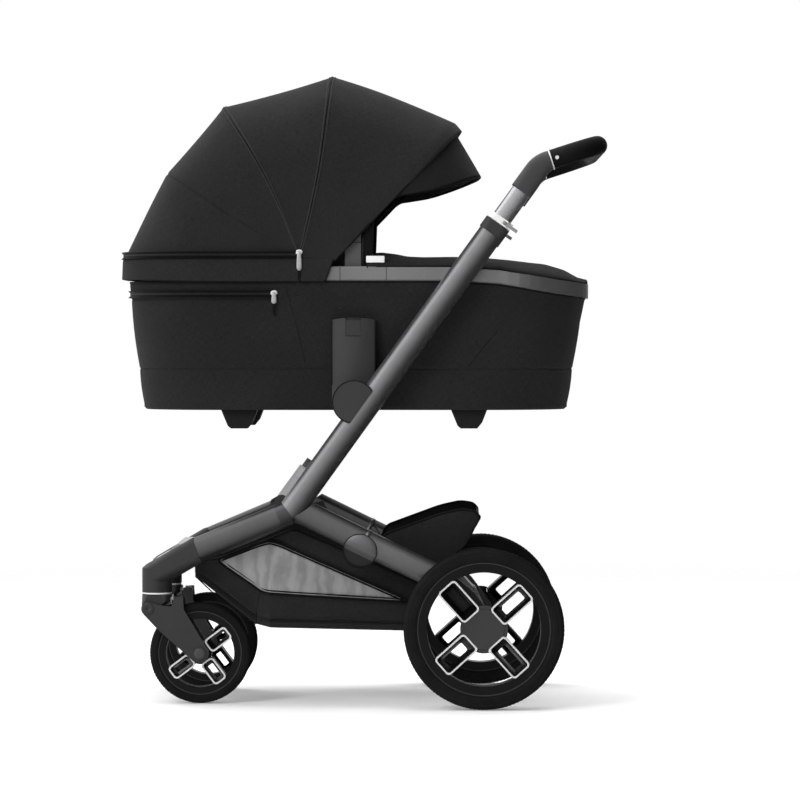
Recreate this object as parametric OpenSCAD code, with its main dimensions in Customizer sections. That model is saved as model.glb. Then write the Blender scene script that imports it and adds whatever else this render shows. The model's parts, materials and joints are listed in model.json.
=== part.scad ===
// Baby stroller with a lift-off carrycot: folding pushbar, telescopic handle, swivelling sprung
// front casters, sprung rear axle, shopping basket and a folding canopy.
// Millimetres. The floor is z = 0, +X points to the handle and the left side is -Y.

/* [Wheels] */
// Radius of the rear tyres
rear_tyre_r = 145.8; // [143:0.2:146]
// Width of the rear tyres
rear_tyre_w = 46; // [42:1:48]
// Radius of the front tyres
front_tyre_r = 93; // [90:0.5:93.5]
// Width of the front tyres
front_tyre_w = 38; // [34:1:40]
// Distance from the centre plane to each rear wheel's middle
rear_track = 280; // [280:1:290]
// Distance from the centre plane to each caster's stem
front_track = 145; // [142:1:146]
// How far the spokes are turned from the diagonals, in degrees
spoke_turn = 3; // [0:1:10]

/* [Frame tubes] */
// Distance from the centre plane to the middle of each side frame
frame_y = 238; // [238:0.5:240]
// Height of the frame tubes' section, seen from the side
tube_w = 46; // [44:1:46]
// Width of the frame tubes' section
tube_t = 30; // [28:1:30]
// Corner radius of the frame tubes' section
tube_r = 12; // [8:1:13]
// Lean of the pushbar above the horizontal, in degrees
push_angle = 54.2; // [53:0.1:55]

/* [Handle] */
// Thickness of the grip
grip_d = 35.6; // [33:0.2:36]
// Rise of the grip above the horizontal, in degrees
grip_angle = 18; // [15:1:20]
// Bend radius of the elbows under the grip
elbow_bend = 50; // [48:1:52]
// Corner radius of the grip's two ends
grip_corner = 62; // [50:1:70]

/* [Carrycot] */
// Half width of the carrycot at its rim
cot_half = 203; // [200:1:204]
// Height of the carrycot's fabric bottom above the floor
cot_bottom = 541; // [538:1:542]
// Corner radius of the carrycot seen from above
cot_corner = 150; // [120:5:170]
// Thickness of the carrycot's wall
cot_wall = 9; // [6:1:12]
// Thickness of the mattress
mattress_t = 30; // [20:1:40]

/* [Canopy] */
// Thickness of the canopy's cloth and its lining
canopy_wall = 4; // [3:0.5:6]
// Corner radius of the canopy's bows
bow_corner = 130; // [100:5:150]
// Thickness of the canopy's bows
bow_d = 7; // [5:0.5:8]

/* [Hidden] */
$fn = 64;

charcoal = [0.13, 0.13, 0.14];
graphite = [0.42, 0.43, 0.44];
dark_grey = [0.24, 0.24, 0.25];
black = [0.07, 0.07, 0.075];
silver = [0.82, 0.83, 0.84];

// Running clearance of pins in their bores, and the gap between neighbours that slide
fit = 0.05;
gap = 0.5;
// How far fixed parts are cut back where they fit round one another
margin = 0.2;

// The frame's hub, seen from the side: x and z of its corners
hub_front = [-149.1, 373.1];
hub_low = [-127.3, 344.1];
hub_rear = [-85.7, 371.3];
// The pushbar hinges on a pin at the hub's front corner
fold_pin_r = 5;
fold_ear_r = 12;
// Points on the centre lines of the legs, seen from the side
front_leg_top = [-100, 367.4];
front_leg_end = [-300, 284.7];
front_leg_end_y = 190;
rear_leg_top = [-140, 370];
rear_leg_slope = 26.06;
knee = [-6, 284.4];
knee_r = 31;
knee_pin_r = 6;
// How far the knee disc stands proud of the tube
knee_proud = 1;
rear_leg_len = 312;
// The rear axle
axle = [217.9, rear_tyre_r];
axle_r = 6;
// The casters
stem_x = -380;
stem_r = 27.5;
housing_z = 204;
arm_pivot = [-394.8, 174.6];
front_hub = [-300.5, front_tyre_r];
arm_t = 10;
arm_gap = front_tyre_w / 2 + 4;
// The pushbar's centre line starts at its foot and runs up at its lean
push_foot = [-119.6, 373.1];
push_len = 612;
collar_at = 599;
clamp_at = 622;
elbow_at = 693;
elbow_straight = 47.3;
grip_len = 92;
// The disc on the pushbar that the carrycot's bracket hangs behind
disc = [-16.9, 554.1];
disc_r = 38;
bracket_top = 708;
bracket_y = frame_y - tube_t / 2 - 1.5;
// The carrycot
cot_head = -434.5;
cot_foot = 406;
cot_base_head = -408;
cot_base_foot = 372;
cot_base_half = 195;
rim_bottom = 773.6;
rim_top = 800;
// The canopy's hinge, and its bows as [lean in degrees, height]
canopy_pin = [-50, 826];
bow_pin_r = 4;
arm_y = 186.5;
canopy_half = 208;
bow_front = [45.5, 326];
bow_middle = [92, 325];
bow_rear = [128, 342];
bow_head = [155, 347];

// ---- Shared helpers ----

// Repeats its children on both sides of the centre plane
module both_sides() {
    children();
    mirror([0, 1, 0]) children();
}

// Models on the +Y side and mirrors to the left (-Y) side where asked
module on_side(left) {
    if (left) mirror([0, 1, 0]) children();
    if (!left) children();
}

// Extrudes a profile drawn in x and z from y = low to y = low + thick
module slab(low, thick) {
    translate([0, low + thick, 0]) rotate([90, 0, 0]) linear_extrude(thick) children();
}

// A cylinder along Y through the side-view point p
module y_rod(p, r, low, high) {
    translate([p[0], high, p[1]]) rotate([90, 0, 0]) cylinder(r = r, h = high - low);
}

// A rectangle with round corners, centred
module round_rect(w, h, r) {
    square([w, h - 2 * r], center = true);
    square([w - 2 * r, h], center = true);
    for (x = [-1, 1], y = [-1, 1])
        translate([x * (w / 2 - r), y * (h / 2 - r)]) circle(r);
}

// A straight tube of round-cornered section from p to q, its width in the upright plane
module bar(p, q, w, t, r) {
    d = q - p;
    long = norm(d);
    translate(p) rotate([0, acos(d[2] / long), atan2(d[1], d[0])])
        linear_extrude(long) round_rect(w, t, r);
}

// Places children on the pushbar's centre line: z runs up the tube, x towards its rear face
module on_push(at) {
    translate([push_foot[0], frame_y, push_foot[1]]) rotate([0, 90 - push_angle, 0])
        translate([0, 0, at]) children();
}

// ---- Chassis ----

// What lies behind the seam between the front leg and the hub
module behind_front_seam() {
    lift = hub_front - hub_low;
    polygon([hub_front + 3 * lift, hub_low, hub_low - [0, 90], hub_low + [300, -90], hub_low + [300, 300]]);
}

// The front leg's tube, grown by a margin where something has to clear it
module front_leg_tube(grow) {
    slope = (front_leg_top - front_leg_end) / (front_leg_top[0] - front_leg_end[0]);
    bend = front_leg_end + slope * (hub_front[0] - front_leg_end[0]);
    wide = tube_w + 2 * grow;
    thick = tube_t + 2 * grow;
    bar([front_leg_end[0], front_leg_end_y, front_leg_end[1]], [bend[0], frame_y, bend[1]], wide, thick, tube_r);
    bar([bend[0] - 5, frame_y, bend[1] - 5 * slope[1]], [front_leg_top[0], frame_y, front_leg_top[1]],
        wide, thick, tube_r);
}

module front_leg(left) {
    color(graphite) on_side(left) difference() {
        front_leg_tube(0);
        slab(frame_y - 60, 120) behind_front_seam();
    }
}

// The line of the rear leg, from its top: side-view point at a distance along it
function rear_leg_at(d) = rear_leg_top + d * [cos(rear_leg_slope), -sin(rear_leg_slope)];

// A half plane beyond the knee, its edge at the given angle through the knee
module beyond_knee(angle) {
    translate(knee) rotate(angle) translate([-200, -400]) square(400);
}

module rear_leg_tube() {
    a = rear_leg_at(0);
    b = rear_leg_at(rear_leg_len);
    bar([a[0], frame_y, a[1]], [b[0], frame_y, b[1]], tube_w, tube_t, tube_r);
}

// Upper rear leg: a full tube down to the knee, then a tongue on its inner half
module rear_leg(left) {
    inner = frame_y - tube_t / 2;
    color(graphite) on_side(left) difference() {
        union() {
            difference() {
                rear_leg_tube();
                slab(inner - 5, 60) beyond_knee(90 - rear_leg_slope + 3.8);
                slab(frame_y - gap, 60) translate(knee) circle(knee_r + gap);
            }
            y_rod(knee, knee_r - 2, inner, frame_y - gap);
        }
        slab(frame_y - 60, 120) {
            polygon([hub_front + 3 * (hub_front - hub_low), hub_low, hub_rear, hub_rear + 3 * (hub_rear - hub_low),
                hub_rear + [0, 200], hub_front + [0, 200]]);
            polygon([hub_front + 3 * (hub_front - hub_low), hub_low, hub_low - [0, 90], hub_low - [200, 90],
                hub_front - [200, 0]]);
        }
        y_rod(knee, knee_pin_r, inner - 1, frame_y + tube_t);
    }
}

// Inner plates that join the legs at the hub and carry the fold pins, and the knee pins
module frame_hinges() {
    inner = frame_y - tube_t / 2;
    color(dark_grey) both_sides() {
        difference() {
            slab(inner - 8, 8) {
                polygon([hub_front + [-12, 0], hub_front + [-2, -12], hub_low + [0, 2], hub_rear + [0, -14],
                    hub_rear + [8, -32], hub_low + [30, -18], hub_low - [0, 10], hub_front + [-42, -36],
                    hub_front + [-36, -14]]);
                translate(hub_front) circle(fold_ear_r);
            }
            front_leg_tube(margin);
        }
        y_rod(hub_front, fold_pin_r, inner - 17, inner - 8);
        y_rod(knee, knee_pin_r, inner - 2, frame_y + tube_t / 2 + 3);
        y_rod(knee, knee_pin_r + 3, inner - 4, inner - 0.01);
    }
}

// The caster housing's body, grown by a margin where something has to clear it
module housing_block(grow) {
    lean = [-151, front_leg_end_y - frame_y, -62.4];
    tip = [front_leg_end[0], front_leg_end_y, front_leg_end[1]];
    hull() {
        bar(tip, tip + 6 * lean / norm(lean), tube_w + 1 + 2 * grow, tube_t + 1 + 2 * grow, tube_r);
        translate([stem_x, front_track, 226 - grow]) cylinder(r = stem_r + grow, h = 22 + 2 * grow, $fn = 32);
        translate([stem_x + 2, front_track, 246]) cylinder(r = stem_r - 6 + grow, h = 9 + grow, $fn = 32);
    }
}

module caster_housings() {
    color(dark_grey) both_sides() difference() {
        union() {
            housing_block(0);
            translate([stem_x, front_track, housing_z]) cylinder(r = stem_r, h = 30);
        }
        translate([stem_x, front_track, housing_z - 1]) cylinder(r = 8 + fit, h = 36);
    }
}

// Side-view line of the bridge between the casters
bridge_rear = [-322, 287];
bridge_front = [-398, 250];

module cross_bar() {
    color(dark_grey) difference() {
        slab(-front_track + 16, 2 * front_track - 32)
            polygon([bridge_front + [8, 0], bridge_rear + [-6, 0], bridge_rear + [-4, -20], bridge_front + [44, -16],
                bridge_front + [12, -12]]);
        both_sides() housing_block(margin);
    }
}

module cross_cover() {
    half = front_track - 20;
    color(silver) difference() {
        intersection() {
            slab(-half, 2 * half)
                polygon([bridge_front + [-2, -6], bridge_front + [4, 6], bridge_front + [30, 20.5],
                    bridge_rear + [-18, 8.5], bridge_rear + [4, 8], bridge_rear + [4, 1], bridge_rear + [-6, 0.01],
                    bridge_front + [8, 0.01]]);
            translate([-360, 0, 296 - 1400]) rotate([0, 90, 0])
                cylinder(r = 1400, h = 300, center = true, $fn = 256);
        }
        both_sides() housing_block(margin);
    }
}

// Half the basket's outline as thin slabs, drawn in by d on every side
module basket_block(d, lid) {
    ends = [[-312 + d, 230, 256 + lid, 116], [-200 + d / 2, 142.5 + d, 150, 112], [-172, 139 + d, 160, 158],
        [78 - d, 134 + d, 160, 166], [118 - d, 178, 214 + lid, 176], [-127, 300, 322 + lid, 206],
        [-250, 225, 270 + lid, 168]];
    hull() for (e = ends) translate([e[0], -e[3] + d, e[1]]) cube([0.5, 2 * (e[3] - d), e[2] - e[1]]);
}

module basket_shell() {
    color(charcoal) difference() {
        basket_block(0, 0);
        basket_block(4, 60);
    }
}

// Raised rear end of the basket between the legs
module basket_scoop() {
    outer = [[22, 272], [36, 310], [139, 348], [179, 357], [203, 353], [211, 344], [186, 293], [140, 255], [119, 218]];
    half = 192;
    color(charcoal) difference() {
        slab(-half, 2 * half) polygon(outer);
        slab(-half + 4, 2 * half - 8)
            polygon([[0, 200], [0, 420], [260, 420], [206, 348], [181, 296], [136, 260], [112, 219], [105, 200]]);
    }
}

// ---- Sprung rear frame ----

module lower_leg(left) {
    inner = frame_y - tube_t / 2;
    color(graphite) on_side(left) difference() {
        union() {
            difference() {
                intersection() {
                    rear_leg_tube();
                    slab(inner - 5, 60) beyond_knee(90 - rear_leg_slope);
                }
                slab(inner - 5, 5 + tube_t / 2 + gap) translate(knee) circle(knee_r + gap);
            }
            y_rod(knee, knee_r, frame_y + gap, frame_y + tube_t / 2 + knee_proud);
        }
        y_rod(knee, knee_pin_r + fit, inner - 6, frame_y + tube_t);
    }
}

// Cast feet that carry the axle
module axle_feet() {
    start = rear_leg_at(rear_leg_len);
    color(dark_grey) both_sides() difference() {
        union() {
            hull() {
                y_rod(start + [-2, 0], 22, frame_y - 13, frame_y + 13, $fn = 32);
                y_rod([186, 196], 20, frame_y - 13, frame_y + 13, $fn = 32);
            }
            hull() {
                y_rod([186, 196], 20, frame_y - 13, frame_y + 13, $fn = 32);
                y_rod(axle, 24, frame_y - 13, frame_y + 13, $fn = 32);
            }
        }
        slab(frame_y - 30, 60) translate(start) rotate(180 - rear_leg_slope) translate([0, -60]) square(120);
        y_rod(axle, axle_r, frame_y - 30, frame_y + 30);
    }
}

module rear_axle() {
    inner = frame_y - 13;
    color(dark_grey) {
        y_rod(axle, 11, -inner, inner);
        y_rod(axle, axle_r, -rear_track - 15, rear_track + 15);
    }
}

// Foot pedal that turns on the axle
module brake_pedal() {
    color(silver) difference() {
        union() {
            y_rod(axle, 18, -32, 32);
            slab(-26, 52) polygon([axle + [-16, 6], axle + [8, 14], axle + [-14, 62], axle + [-22, 60]]);
            slab(-45, 90) polygon([axle + [-14, 58], axle + [-36, 82], axle + [-44, 80], axle + [-24, 56]]);
        }
        y_rod(axle, 11 + fit, -40, 40);
    }
}

// ---- Wheels: drawn about the origin, their outer face upwards ----

module tyre(r, w, inner) {
    wall = r - inner;
    color(black) rotate_extrude($fn = 128) {
        translate([inner + wall * 0.35, 0]) square([wall * 0.7, w - 4], center = true);
        translate([r - w * 0.36, 0]) intersection() {
            circle(w * 0.36);
            translate([0, -w / 2]) square([w, w]);
        }
        translate([inner + wall * 0.5, 0]) round_rect(wall * 0.8, w, 5);
    }
}

// Box spokes' outline, at their places round the wheel
module spoke_outline(middle, long, wide, corner, turn) {
    for (a = [0:3]) rotate(45 + turn + 90 * a) translate([middle, 0]) round_rect(long, wide, corner);
}

module rim(outer, inner, w, hub, bore, middle, long, wide, turn) {
    color(dark_grey) difference() {
        union() {
            translate([0, 0, -w / 2]) difference() {
                cylinder(r = outer, h = w, $fn = 128);
                translate([0, 0, -1]) cylinder(r = inner, h = w + 2, $fn = 128);
            }
            translate([0, 0, -w / 2]) cylinder(r = hub, h = w - 3);
            translate([0, 0, -w / 2]) linear_extrude(w) spoke_outline(middle, long, wide, 7, turn);
        }
        translate([0, 0, -w]) linear_extrude(2 * w) spoke_outline(middle, long - 8, wide - 8, 4, turn);
        translate([0, 0, -w]) cylinder(r = bore, h = 2 * w - 10);
    }
}

module spoke_trim(w, middle, long, wide, turn) {
    color(silver) translate([0, 0, w / 2]) linear_extrude(2.5) difference() {
        spoke_outline(middle, long, wide + 1, 7, turn);
        spoke_outline(middle, long - 6, wide - 5, 5, turn);
    }
}

// Stands a wheel part at an axle, on the +Y side or mirrored
module wheel_at(p, y, left) {
    on_side(left) translate([p[0], y, p[1]]) rotate([-90, 0, 0]) children();
}

module rear_tyre(left) {
    wheel_at(axle, rear_track, left) tyre(rear_tyre_r, rear_tyre_w, 118.8);
}

module rear_rim(left) {
    wheel_at(axle, rear_track, left) rim(118.8, 102.6, 40, 30, axle_r + fit, 67.5, 72, 39, spoke_turn);
}

module rear_trim(left) {
    wheel_at(axle, rear_track, left) spoke_trim(40, 67.5, 72, 39, spoke_turn);
}

module rear_cap(left) {
    color(dark_grey) wheel_at(axle, rear_track, left) translate([0, 0, 17]) difference() {
        union() {
            cylinder(r = 43, h = 3);
            cylinder(r = 36, h = 4.5);
        }
        translate([0, 0, -1]) linear_extrude(8) spoke_outline(67.5, 73, 41, 7.5, spoke_turn);
    }
}

module front_tyre(left) {
    wheel_at(front_hub, front_track, left) tyre(front_tyre_r, front_tyre_w, 75.2);
}

module front_rim(left) {
    wheel_at(front_hub, front_track, left) rim(75.2, 62.5, 33, 21, 5 + fit, 41.5, 47, 26, spoke_turn + 5);
}

module front_trim(left) {
    wheel_at(front_hub, front_track, left) spoke_trim(33, 41.5, 47, 26, spoke_turn + 5);
}

// ---- Casters ----

// Swivelling block with its stem, above the sprung fork's pin
module knuckle(left) {
    color(dark_grey) on_side(left) {
        translate([stem_x, front_track, housing_z - 14]) cylinder(r = 8, h = 44);
        translate([-366, front_track, 190]) rotate([0, 90, 0]) cylinder(r = 8, h = 16);
        difference() {
            intersection() {
                hull() {
                    translate([stem_x, front_track, housing_z - 16]) cylinder(r = stem_r, h = 12, $fn = 32);
                    y_rod(arm_pivot, 12.5, front_track - 21, front_track + 21, $fn = 32);
                }
                translate([stem_x, front_track, housing_z]) cube([120, 2 * arm_gap - 2, 120], center = true);
            }
            y_rod(arm_pivot, 5 + fit, front_track - 30, front_track + 30);
        }
    }
}

module fork_side() {
    polygon([[-396, 187], [-372, 181], [-352, 179], [-347, 196], [-331, 197], [-329, 173], [-285, 99], [-312, 79],
        [-378, 138], [-405, 167]]);
    translate(arm_pivot) circle(12.4);
    translate(front_hub) circle(17);
}

module fork(left) {
    far = arm_gap + arm_t;
    color(dark_grey) on_side(left) translate([0, front_track, 0]) {
        slab(arm_gap, arm_t) fork_side();
        slab(-far, arm_t) fork_side();
        y_rod([-339, 190], 7, -arm_gap - 1, arm_gap + 1);
        y_rod(arm_pivot, 5, -arm_gap - 1, arm_gap + 1);
        y_rod(front_hub, 5, -arm_gap - 1, arm_gap + 1);
        y_rod(front_hub, 12, -far - 2, -far + 1);
        y_rod(front_hub, 12, far - 1, far + 2);
    }
}

// ---- Pushbar ----

module hub_notch() {
    reach = 3;
    polygon([hub_front + reach * (hub_front - hub_low), hub_low, hub_rear + reach * (hub_rear - hub_low),
        [hub_rear[0], 200], [hub_front[0] - 60, 200]]);
}

module pushbar(left) {
    inner = tube_t / 2;
    color(graphite) on_side(left) {
        difference() {
            on_push(-60) linear_extrude(push_len + 60) round_rect(tube_w, tube_t, tube_r);
            on_push(70) linear_extrude(push_len) round_rect(37, 23, 8);
            slab(frame_y - 60, 120) translate([0, 0.4]) hub_notch();
        }
        difference() {
            union() {
                y_rod(hub_front, fold_ear_r, frame_y - inner - 16.3, frame_y - inner - 8.3);
                slab(frame_y - inner - 16.3, 8)
                    polygon([hub_front + [-9, 8], hub_front + [34, 67], hub_front + [67, 45], hub_front + [9, -8]]);
                slab(frame_y - inner - 9, 9 + 0.01)
                    polygon([hub_front + [24, 46], hub_front + [36, 63], hub_front + [61, 46], hub_front + [48, 30]]);
            }
            y_rod(hub_front, fold_pin_r + fit, frame_y - inner - 20, frame_y);
        }
    }
}

module tube_collars() {
    color(dark_grey) both_sides() difference() {
        on_push(collar_at) linear_extrude(22) round_rect(tube_w + 4, tube_t + 4, tube_r + 2);
        on_push(collar_at - 1) linear_extrude(push_len - collar_at + 1) round_rect(tube_w, tube_t, tube_r);
        on_push(collar_at) linear_extrude(40) round_rect(37, 23, 8);
    }
}

// Bands that pinch the inner tubes, each with two lugs for its lever's pin
module clamp_bands() {
    color(silver) both_sides() difference() {
        on_push(clamp_at) {
            linear_extrude(12) round_rect(tube_w + 3, tube_t + 3, tube_r + 1);
            for (z = [0, 9.5]) translate([4, tube_t / 2, z]) cube([10, 9, 2.5]);
        }
        on_push(clamp_at - 1) linear_extrude(20) round_rect(37, 23, 8);
        on_push(clamp_at - 1) translate([9, tube_t / 2 + 5.5, 0]) cylinder(r = 2 + fit, h = 20);
    }
}

module clamp_lever(left) {
    color(dark_grey) on_side(left) on_push(clamp_at) {
        translate([9, tube_t / 2 + 5.5, 0.3]) cylinder(r = 2, h = 11.4);
        translate([9, tube_t / 2 + 5.5, 3]) cylinder(r = 3.4, h = 6);
        translate([9, tube_t / 2 + 3.4, 3]) cube([28, 3.6, 6]);
    }
}

// Round bosses on the pushbar, cut to fit round its tube
module adapter_discs() {
    color(dark_grey) both_sides() difference() {
        union() {
            y_rod(disc, disc_r, bracket_y + 0.7, frame_y + tube_t / 2 + 2.5);
            y_rod(disc, disc_r + 1, frame_y, frame_y + tube_t / 2 + 1.2);
        }
        on_push(0) linear_extrude(500) round_rect(tube_w, tube_t, tube_r);
        on_push(0) translate([-6.5, -50, 0]) cube([100, 100, 500]);
    }
}

// ---- Telescopic handle ----

module inner_tubes() {
    color(silver) both_sides() on_push(500) linear_extrude(elbow_at - 500) round_rect(36, 22, 7.5);
}

// Places children at the upper end of an elbow, +X along the grip
module at_grip() {
    turn = push_angle - grip_angle;
    on_push(elbow_at + elbow_straight) translate([elbow_bend, 0, 0]) rotate([0, turn, 0])
        translate([-elbow_bend, 0, 0]) rotate([0, -90, 0]) children();
}

module handle_elbows() {
    turn = push_angle - grip_angle;
    color(dark_grey) both_sides() {
        on_push(elbow_at) linear_extrude(elbow_straight) round_rect(41, 30, 13);
        on_push(elbow_at + elbow_straight) translate([elbow_bend, 0, 0]) rotate([90, 0, 0]) rotate(180 - turn)
            rotate_extrude(angle = turn) translate([elbow_bend, 0]) circle(17.6);
    }
}

// Bright rings below the grip and the studs beside them
module handle_trims() {
    color(silver) both_sides() at_grip() {
        rotate([0, 90, 0]) cylinder(r = grip_d / 2 + 0.9, h = 2.4);
        translate([12, grip_d / 2 - 1, 0]) rotate([-90, 0, 0]) cylinder(r = 3.5, h = 2);
    }
}

module handle_grip() {
    r = grip_d / 2;
    color(black) difference() {
        union() {
            both_sides() at_grip() {
                translate([2.4, 0, 0]) rotate([0, 90, 0]) cylinder(r = r, h = grip_len - grip_corner - 2.4);
                translate([grip_len - grip_corner, -grip_corner, 0])
                    rotate_extrude(angle = 90) translate([grip_corner, 0]) circle(r);
            }
            at_grip() translate([grip_len, -grip_corner, 0]) rotate([90, 0, 0])
                cylinder(r = r, h = 2 * (frame_y - grip_corner));
        }
        both_sides() at_grip() translate([12, grip_d / 2 - 1, 0]) rotate([-90, 0, 0]) cylinder(r = 3.5, h = 5);
    }
}

// ---- Carrycot ----

// The carrycot's outline from above, drawn in by d
module cot_outline(head, foot, half, d) {
    r = cot_corner - d;
    hull() for (x = [head + cot_corner, foot - cot_corner], y = [-1, 1])
        translate([x, y * (half - cot_corner)]) circle(r, $fn = 48);
}

// The carrycot's outer or inner body
module cot_body(d, floor, top) {
    hull() {
        translate([0, 0, floor]) linear_extrude(0.5) cot_outline(cot_base_head, cot_base_foot, cot_base_half, d);
        translate([0, 0, top]) linear_extrude(0.5) cot_outline(cot_head, cot_foot, cot_half, d);
    }
}

// Side-view line of the rim: level at the middle, drooping to the foot end
module rim_band(low, high) {
    line = [[-90, 0], [157, 0], [248, -6], [357, -24], [440, -34]];
    polygon(concat([for (p = line) [p[0], low + p[1]]], [for (i = [4:-1:0]) [line[i][0], high + line[i][1]]]));
}

module cot_shell() {
    color(charcoal) difference() {
        cot_body(0, cot_bottom + 8, 774);
        cot_body(cot_wall, cot_bottom + 8 - 1, 775);
        slab(-300, 600) rim_band(rim_bottom, 900);
    }
}

// Rigid bottom board with its four feet
module cot_base() {
    foot_z = 504.5;
    color(dark_grey) {
        translate([0, 0, cot_bottom]) linear_extrude(8)
            cot_outline(cot_base_head, cot_base_foot, cot_base_half, 0.5);
        for (x = [-228, 192]) both_sides() slab(125, 50)
            polygon([[x - 34, cot_bottom], [x - 21, foot_z + 5], [x - 15, foot_z], [x + 15, foot_z],
                [x + 24, foot_z + 11], [x + 34, cot_bottom]]);
    }
}

module cot_rim() {
    color(graphite) intersection() {
        slab(-300, 600) rim_band(rim_bottom, rim_top);
        translate([0, 0, 700]) linear_extrude(140) difference() {
            cot_outline(cot_head, cot_foot + 8, cot_half + 0.5, 0);
            cot_outline(cot_head, cot_foot + 8, cot_half + 0.5, 14);
        }
    }
}

module mattress() {
    color([0.75, 0.75, 0.74]) translate([0, 0, cot_bottom + 9]) linear_extrude(mattress_t)
        cot_outline(cot_base_head, cot_base_foot, cot_base_half, cot_wall + 5);
}

// Cloth cover over the foot half, slightly crowned
module apron() {
    color(charcoal) intersection() {
        slab(-300, 600)
            polygon([[12, 801], [8, 814], [20, 824], [42, 826], [70, 819], [170, 817], [260, 808], [350, 792],
                [420, 779], [420, 770], [345, 781], [250, 797], [157, 802], [60, 802]]);
        translate([0, 0, 700]) linear_extrude(140) cot_outline(cot_head, cot_foot + 6, cot_half + 1, 0);
    }
}

// Hanging brackets that sit inboard of the pushbar's discs, each with a pocket for its button
module adapter_brackets() {
    mid = disc[0] - 1.5;
    color(dark_grey) both_sides() difference() {
        intersection() {
            slab(180, bracket_y - 180) {
                translate([mid - 39, disc[1]]) square([78, bracket_top - 8 - disc[1]]);
                translate(disc) circle(disc_r - 1);
                translate([mid, bracket_top - 190]) intersection() {
                    circle(190, $fn = 128);
                    translate([-39, 160]) square([78, 40]);
                }
            }
            translate([mid - 60, 0, 0]) rotate([90, 0, 90]) linear_extrude(120)
                polygon([[195.4, 541], [201.5, 730], [230, 730], [230, 500], [195.4, 500]]);
        }
        slab(bracket_y - 7.5, 20) translate([mid - 14, 673]) square([28, 60]);
    }
}

module release_button(left) {
    mid = disc[0] - 1.5;
    color(dark_grey) on_side(left) slab(bracket_y - 5, 4.6) translate([mid - 13.5, 674]) square([27, 29]);
}

// Upright hinge arms of the canopy, on the rim
module canopy_hinges() {
    color(dark_grey) both_sides() difference() {
        union() {
            slab(arm_y, 5) polygon([[-66, rim_top], [-66, 826], [-50, 842], [-30, 846], [-5, 846], [-5, rim_top]]);
            slab(arm_y, 9) polygon([[-34, rim_top], [-34, 844], [-30, 846], [-18, 862], [-5, 864], [-5, rim_top]]);
        }
        y_rod(canopy_pin, bow_pin_r + fit, 180, 220);
    }
}

// ---- Canopy ----

// One bow as a flat slice: upright sides and a top with round corners, moved ahead of the bow's plane
module bow_slice(bow, half, d, thick, ahead = 0) {
    lean = bow[0];
    r = bow_corner - d;
    back = ahead - thick / 2;
    translate([canopy_pin[0], 0, canopy_pin[1]]) rotate([0, 90 - lean, 0]) hull() both_sides() {
        translate([back, half - d - 1, 0]) cube([thick, 1, 1]);
        translate([back, half - bow_corner, bow[1] - bow_corner]) rotate([0, 90, 0]) cylinder(r = r, h = thick);
    }
}

// The canopy's dome, drawn in by d, open below
module dome(d) {
    $fn = 48;
    hull() {
        for (b = [bow_front, bow_middle, bow_rear, bow_head]) bow_slice(b, canopy_half, d, 1);
        translate([0, 0, 776 - 3 * d]) linear_extrude(30) intersection() {
            cot_outline(cot_head - 11, cot_foot, canopy_half, d);
            translate([-500, -300]) square([440, 600]);
        }
    }
}

// Side view of what lies behind a bow
module behind_bow(lean) {
    translate(canopy_pin) rotate(lean) translate([-60, 0]) square([700, 700]);
}

module canopy_rear() {
    color(charcoal) intersection() {
        difference() {
            dome(0);
            dome(canopy_wall);
        }
        slab(-300, 600) intersection() {
            union() {
                behind_bow(bow_rear[0]);
                translate([-500, 700]) square([430, 112]);
            }
            translate([-500, 700]) square([700, 600]);
        }
    }
}

module canopy_front() {
    color(charcoal) intersection() {
        difference() {
            dome(0);
            dome(canopy_wall);
        }
        slab(-300, 600) difference() {
            translate(canopy_pin) rotate(bow_front[0] + 1.5) square([700, 700]);
            behind_bow(bow_rear[0] - 0.5);
            translate([-500, 700]) square([700, 113]);
        }
    }
}

// A wire bow: two legs at the given half width, two round corners and a top
module wire_bow(lean, half, high, corner, start) {
    r = bow_d / 2;
    both_sides() translate([canopy_pin[0], 0, canopy_pin[1]]) rotate([0, 90 - lean, 0]) {
        translate([0, half, start]) cylinder(r = r, h = high - corner - start);
        translate([0, half - corner, high - corner]) rotate([90, 0, 90])
            rotate_extrude(angle = 90) translate([corner, 0]) circle(r);
        translate([0, 0, high]) rotate([-90, 0, 0]) cylinder(r = r, h = half - corner);
    }
}

// The front bow carries the pins that both bows turn on
module front_bow() {
    half = canopy_half - canopy_wall - 4.5;
    color(dark_grey) {
        wire_bow(bow_front[0], half, bow_front[1] - canopy_wall - 5, bow_corner - 8, 0);
        both_sides() y_rod(canopy_pin, bow_pin_r, arm_y - 9, half + 2);
    }
}

module middle_bow() {
    eye_r = 9;
    eye_t = bow_d + 1;
    half = arm_y - gap - eye_t / 2;
    color(dark_grey) {
        wire_bow(bow_middle[0], half, bow_middle[1] - canopy_wall - 5, bow_corner - 26, eye_r - 3);
        both_sides() difference() {
            y_rod(canopy_pin, eye_r, half - eye_t / 2, half + eye_t / 2);
            y_rod(canopy_pin, bow_pin_r + fit, half - eye_t, half + eye_t);
        }
    }
}

// Stiff brim that hangs from the front bow
module visor() {
    brim = [28.5, 297];
    color(charcoal) difference() {
        hull() {
            bow_slice(bow_front, canopy_half, 0, 1, bow_d / 2 + 1, $fn = 48);
            bow_slice(brim, canopy_half - 4, 0, 1, $fn = 48);
        }
        hull() {
            bow_slice(bow_front, canopy_half, canopy_wall, 2, bow_d / 2, $fn = 48);
            bow_slice([brim[0] - 1, brim[1]], canopy_half - 4, canopy_wall, 2, $fn = 48);
        }
        slab(-300, 600) polygon([[-200, 700], [-200, 1010], [53, 925], [150, 940], [400, 960], [400, 700]]);
    }
}

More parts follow.
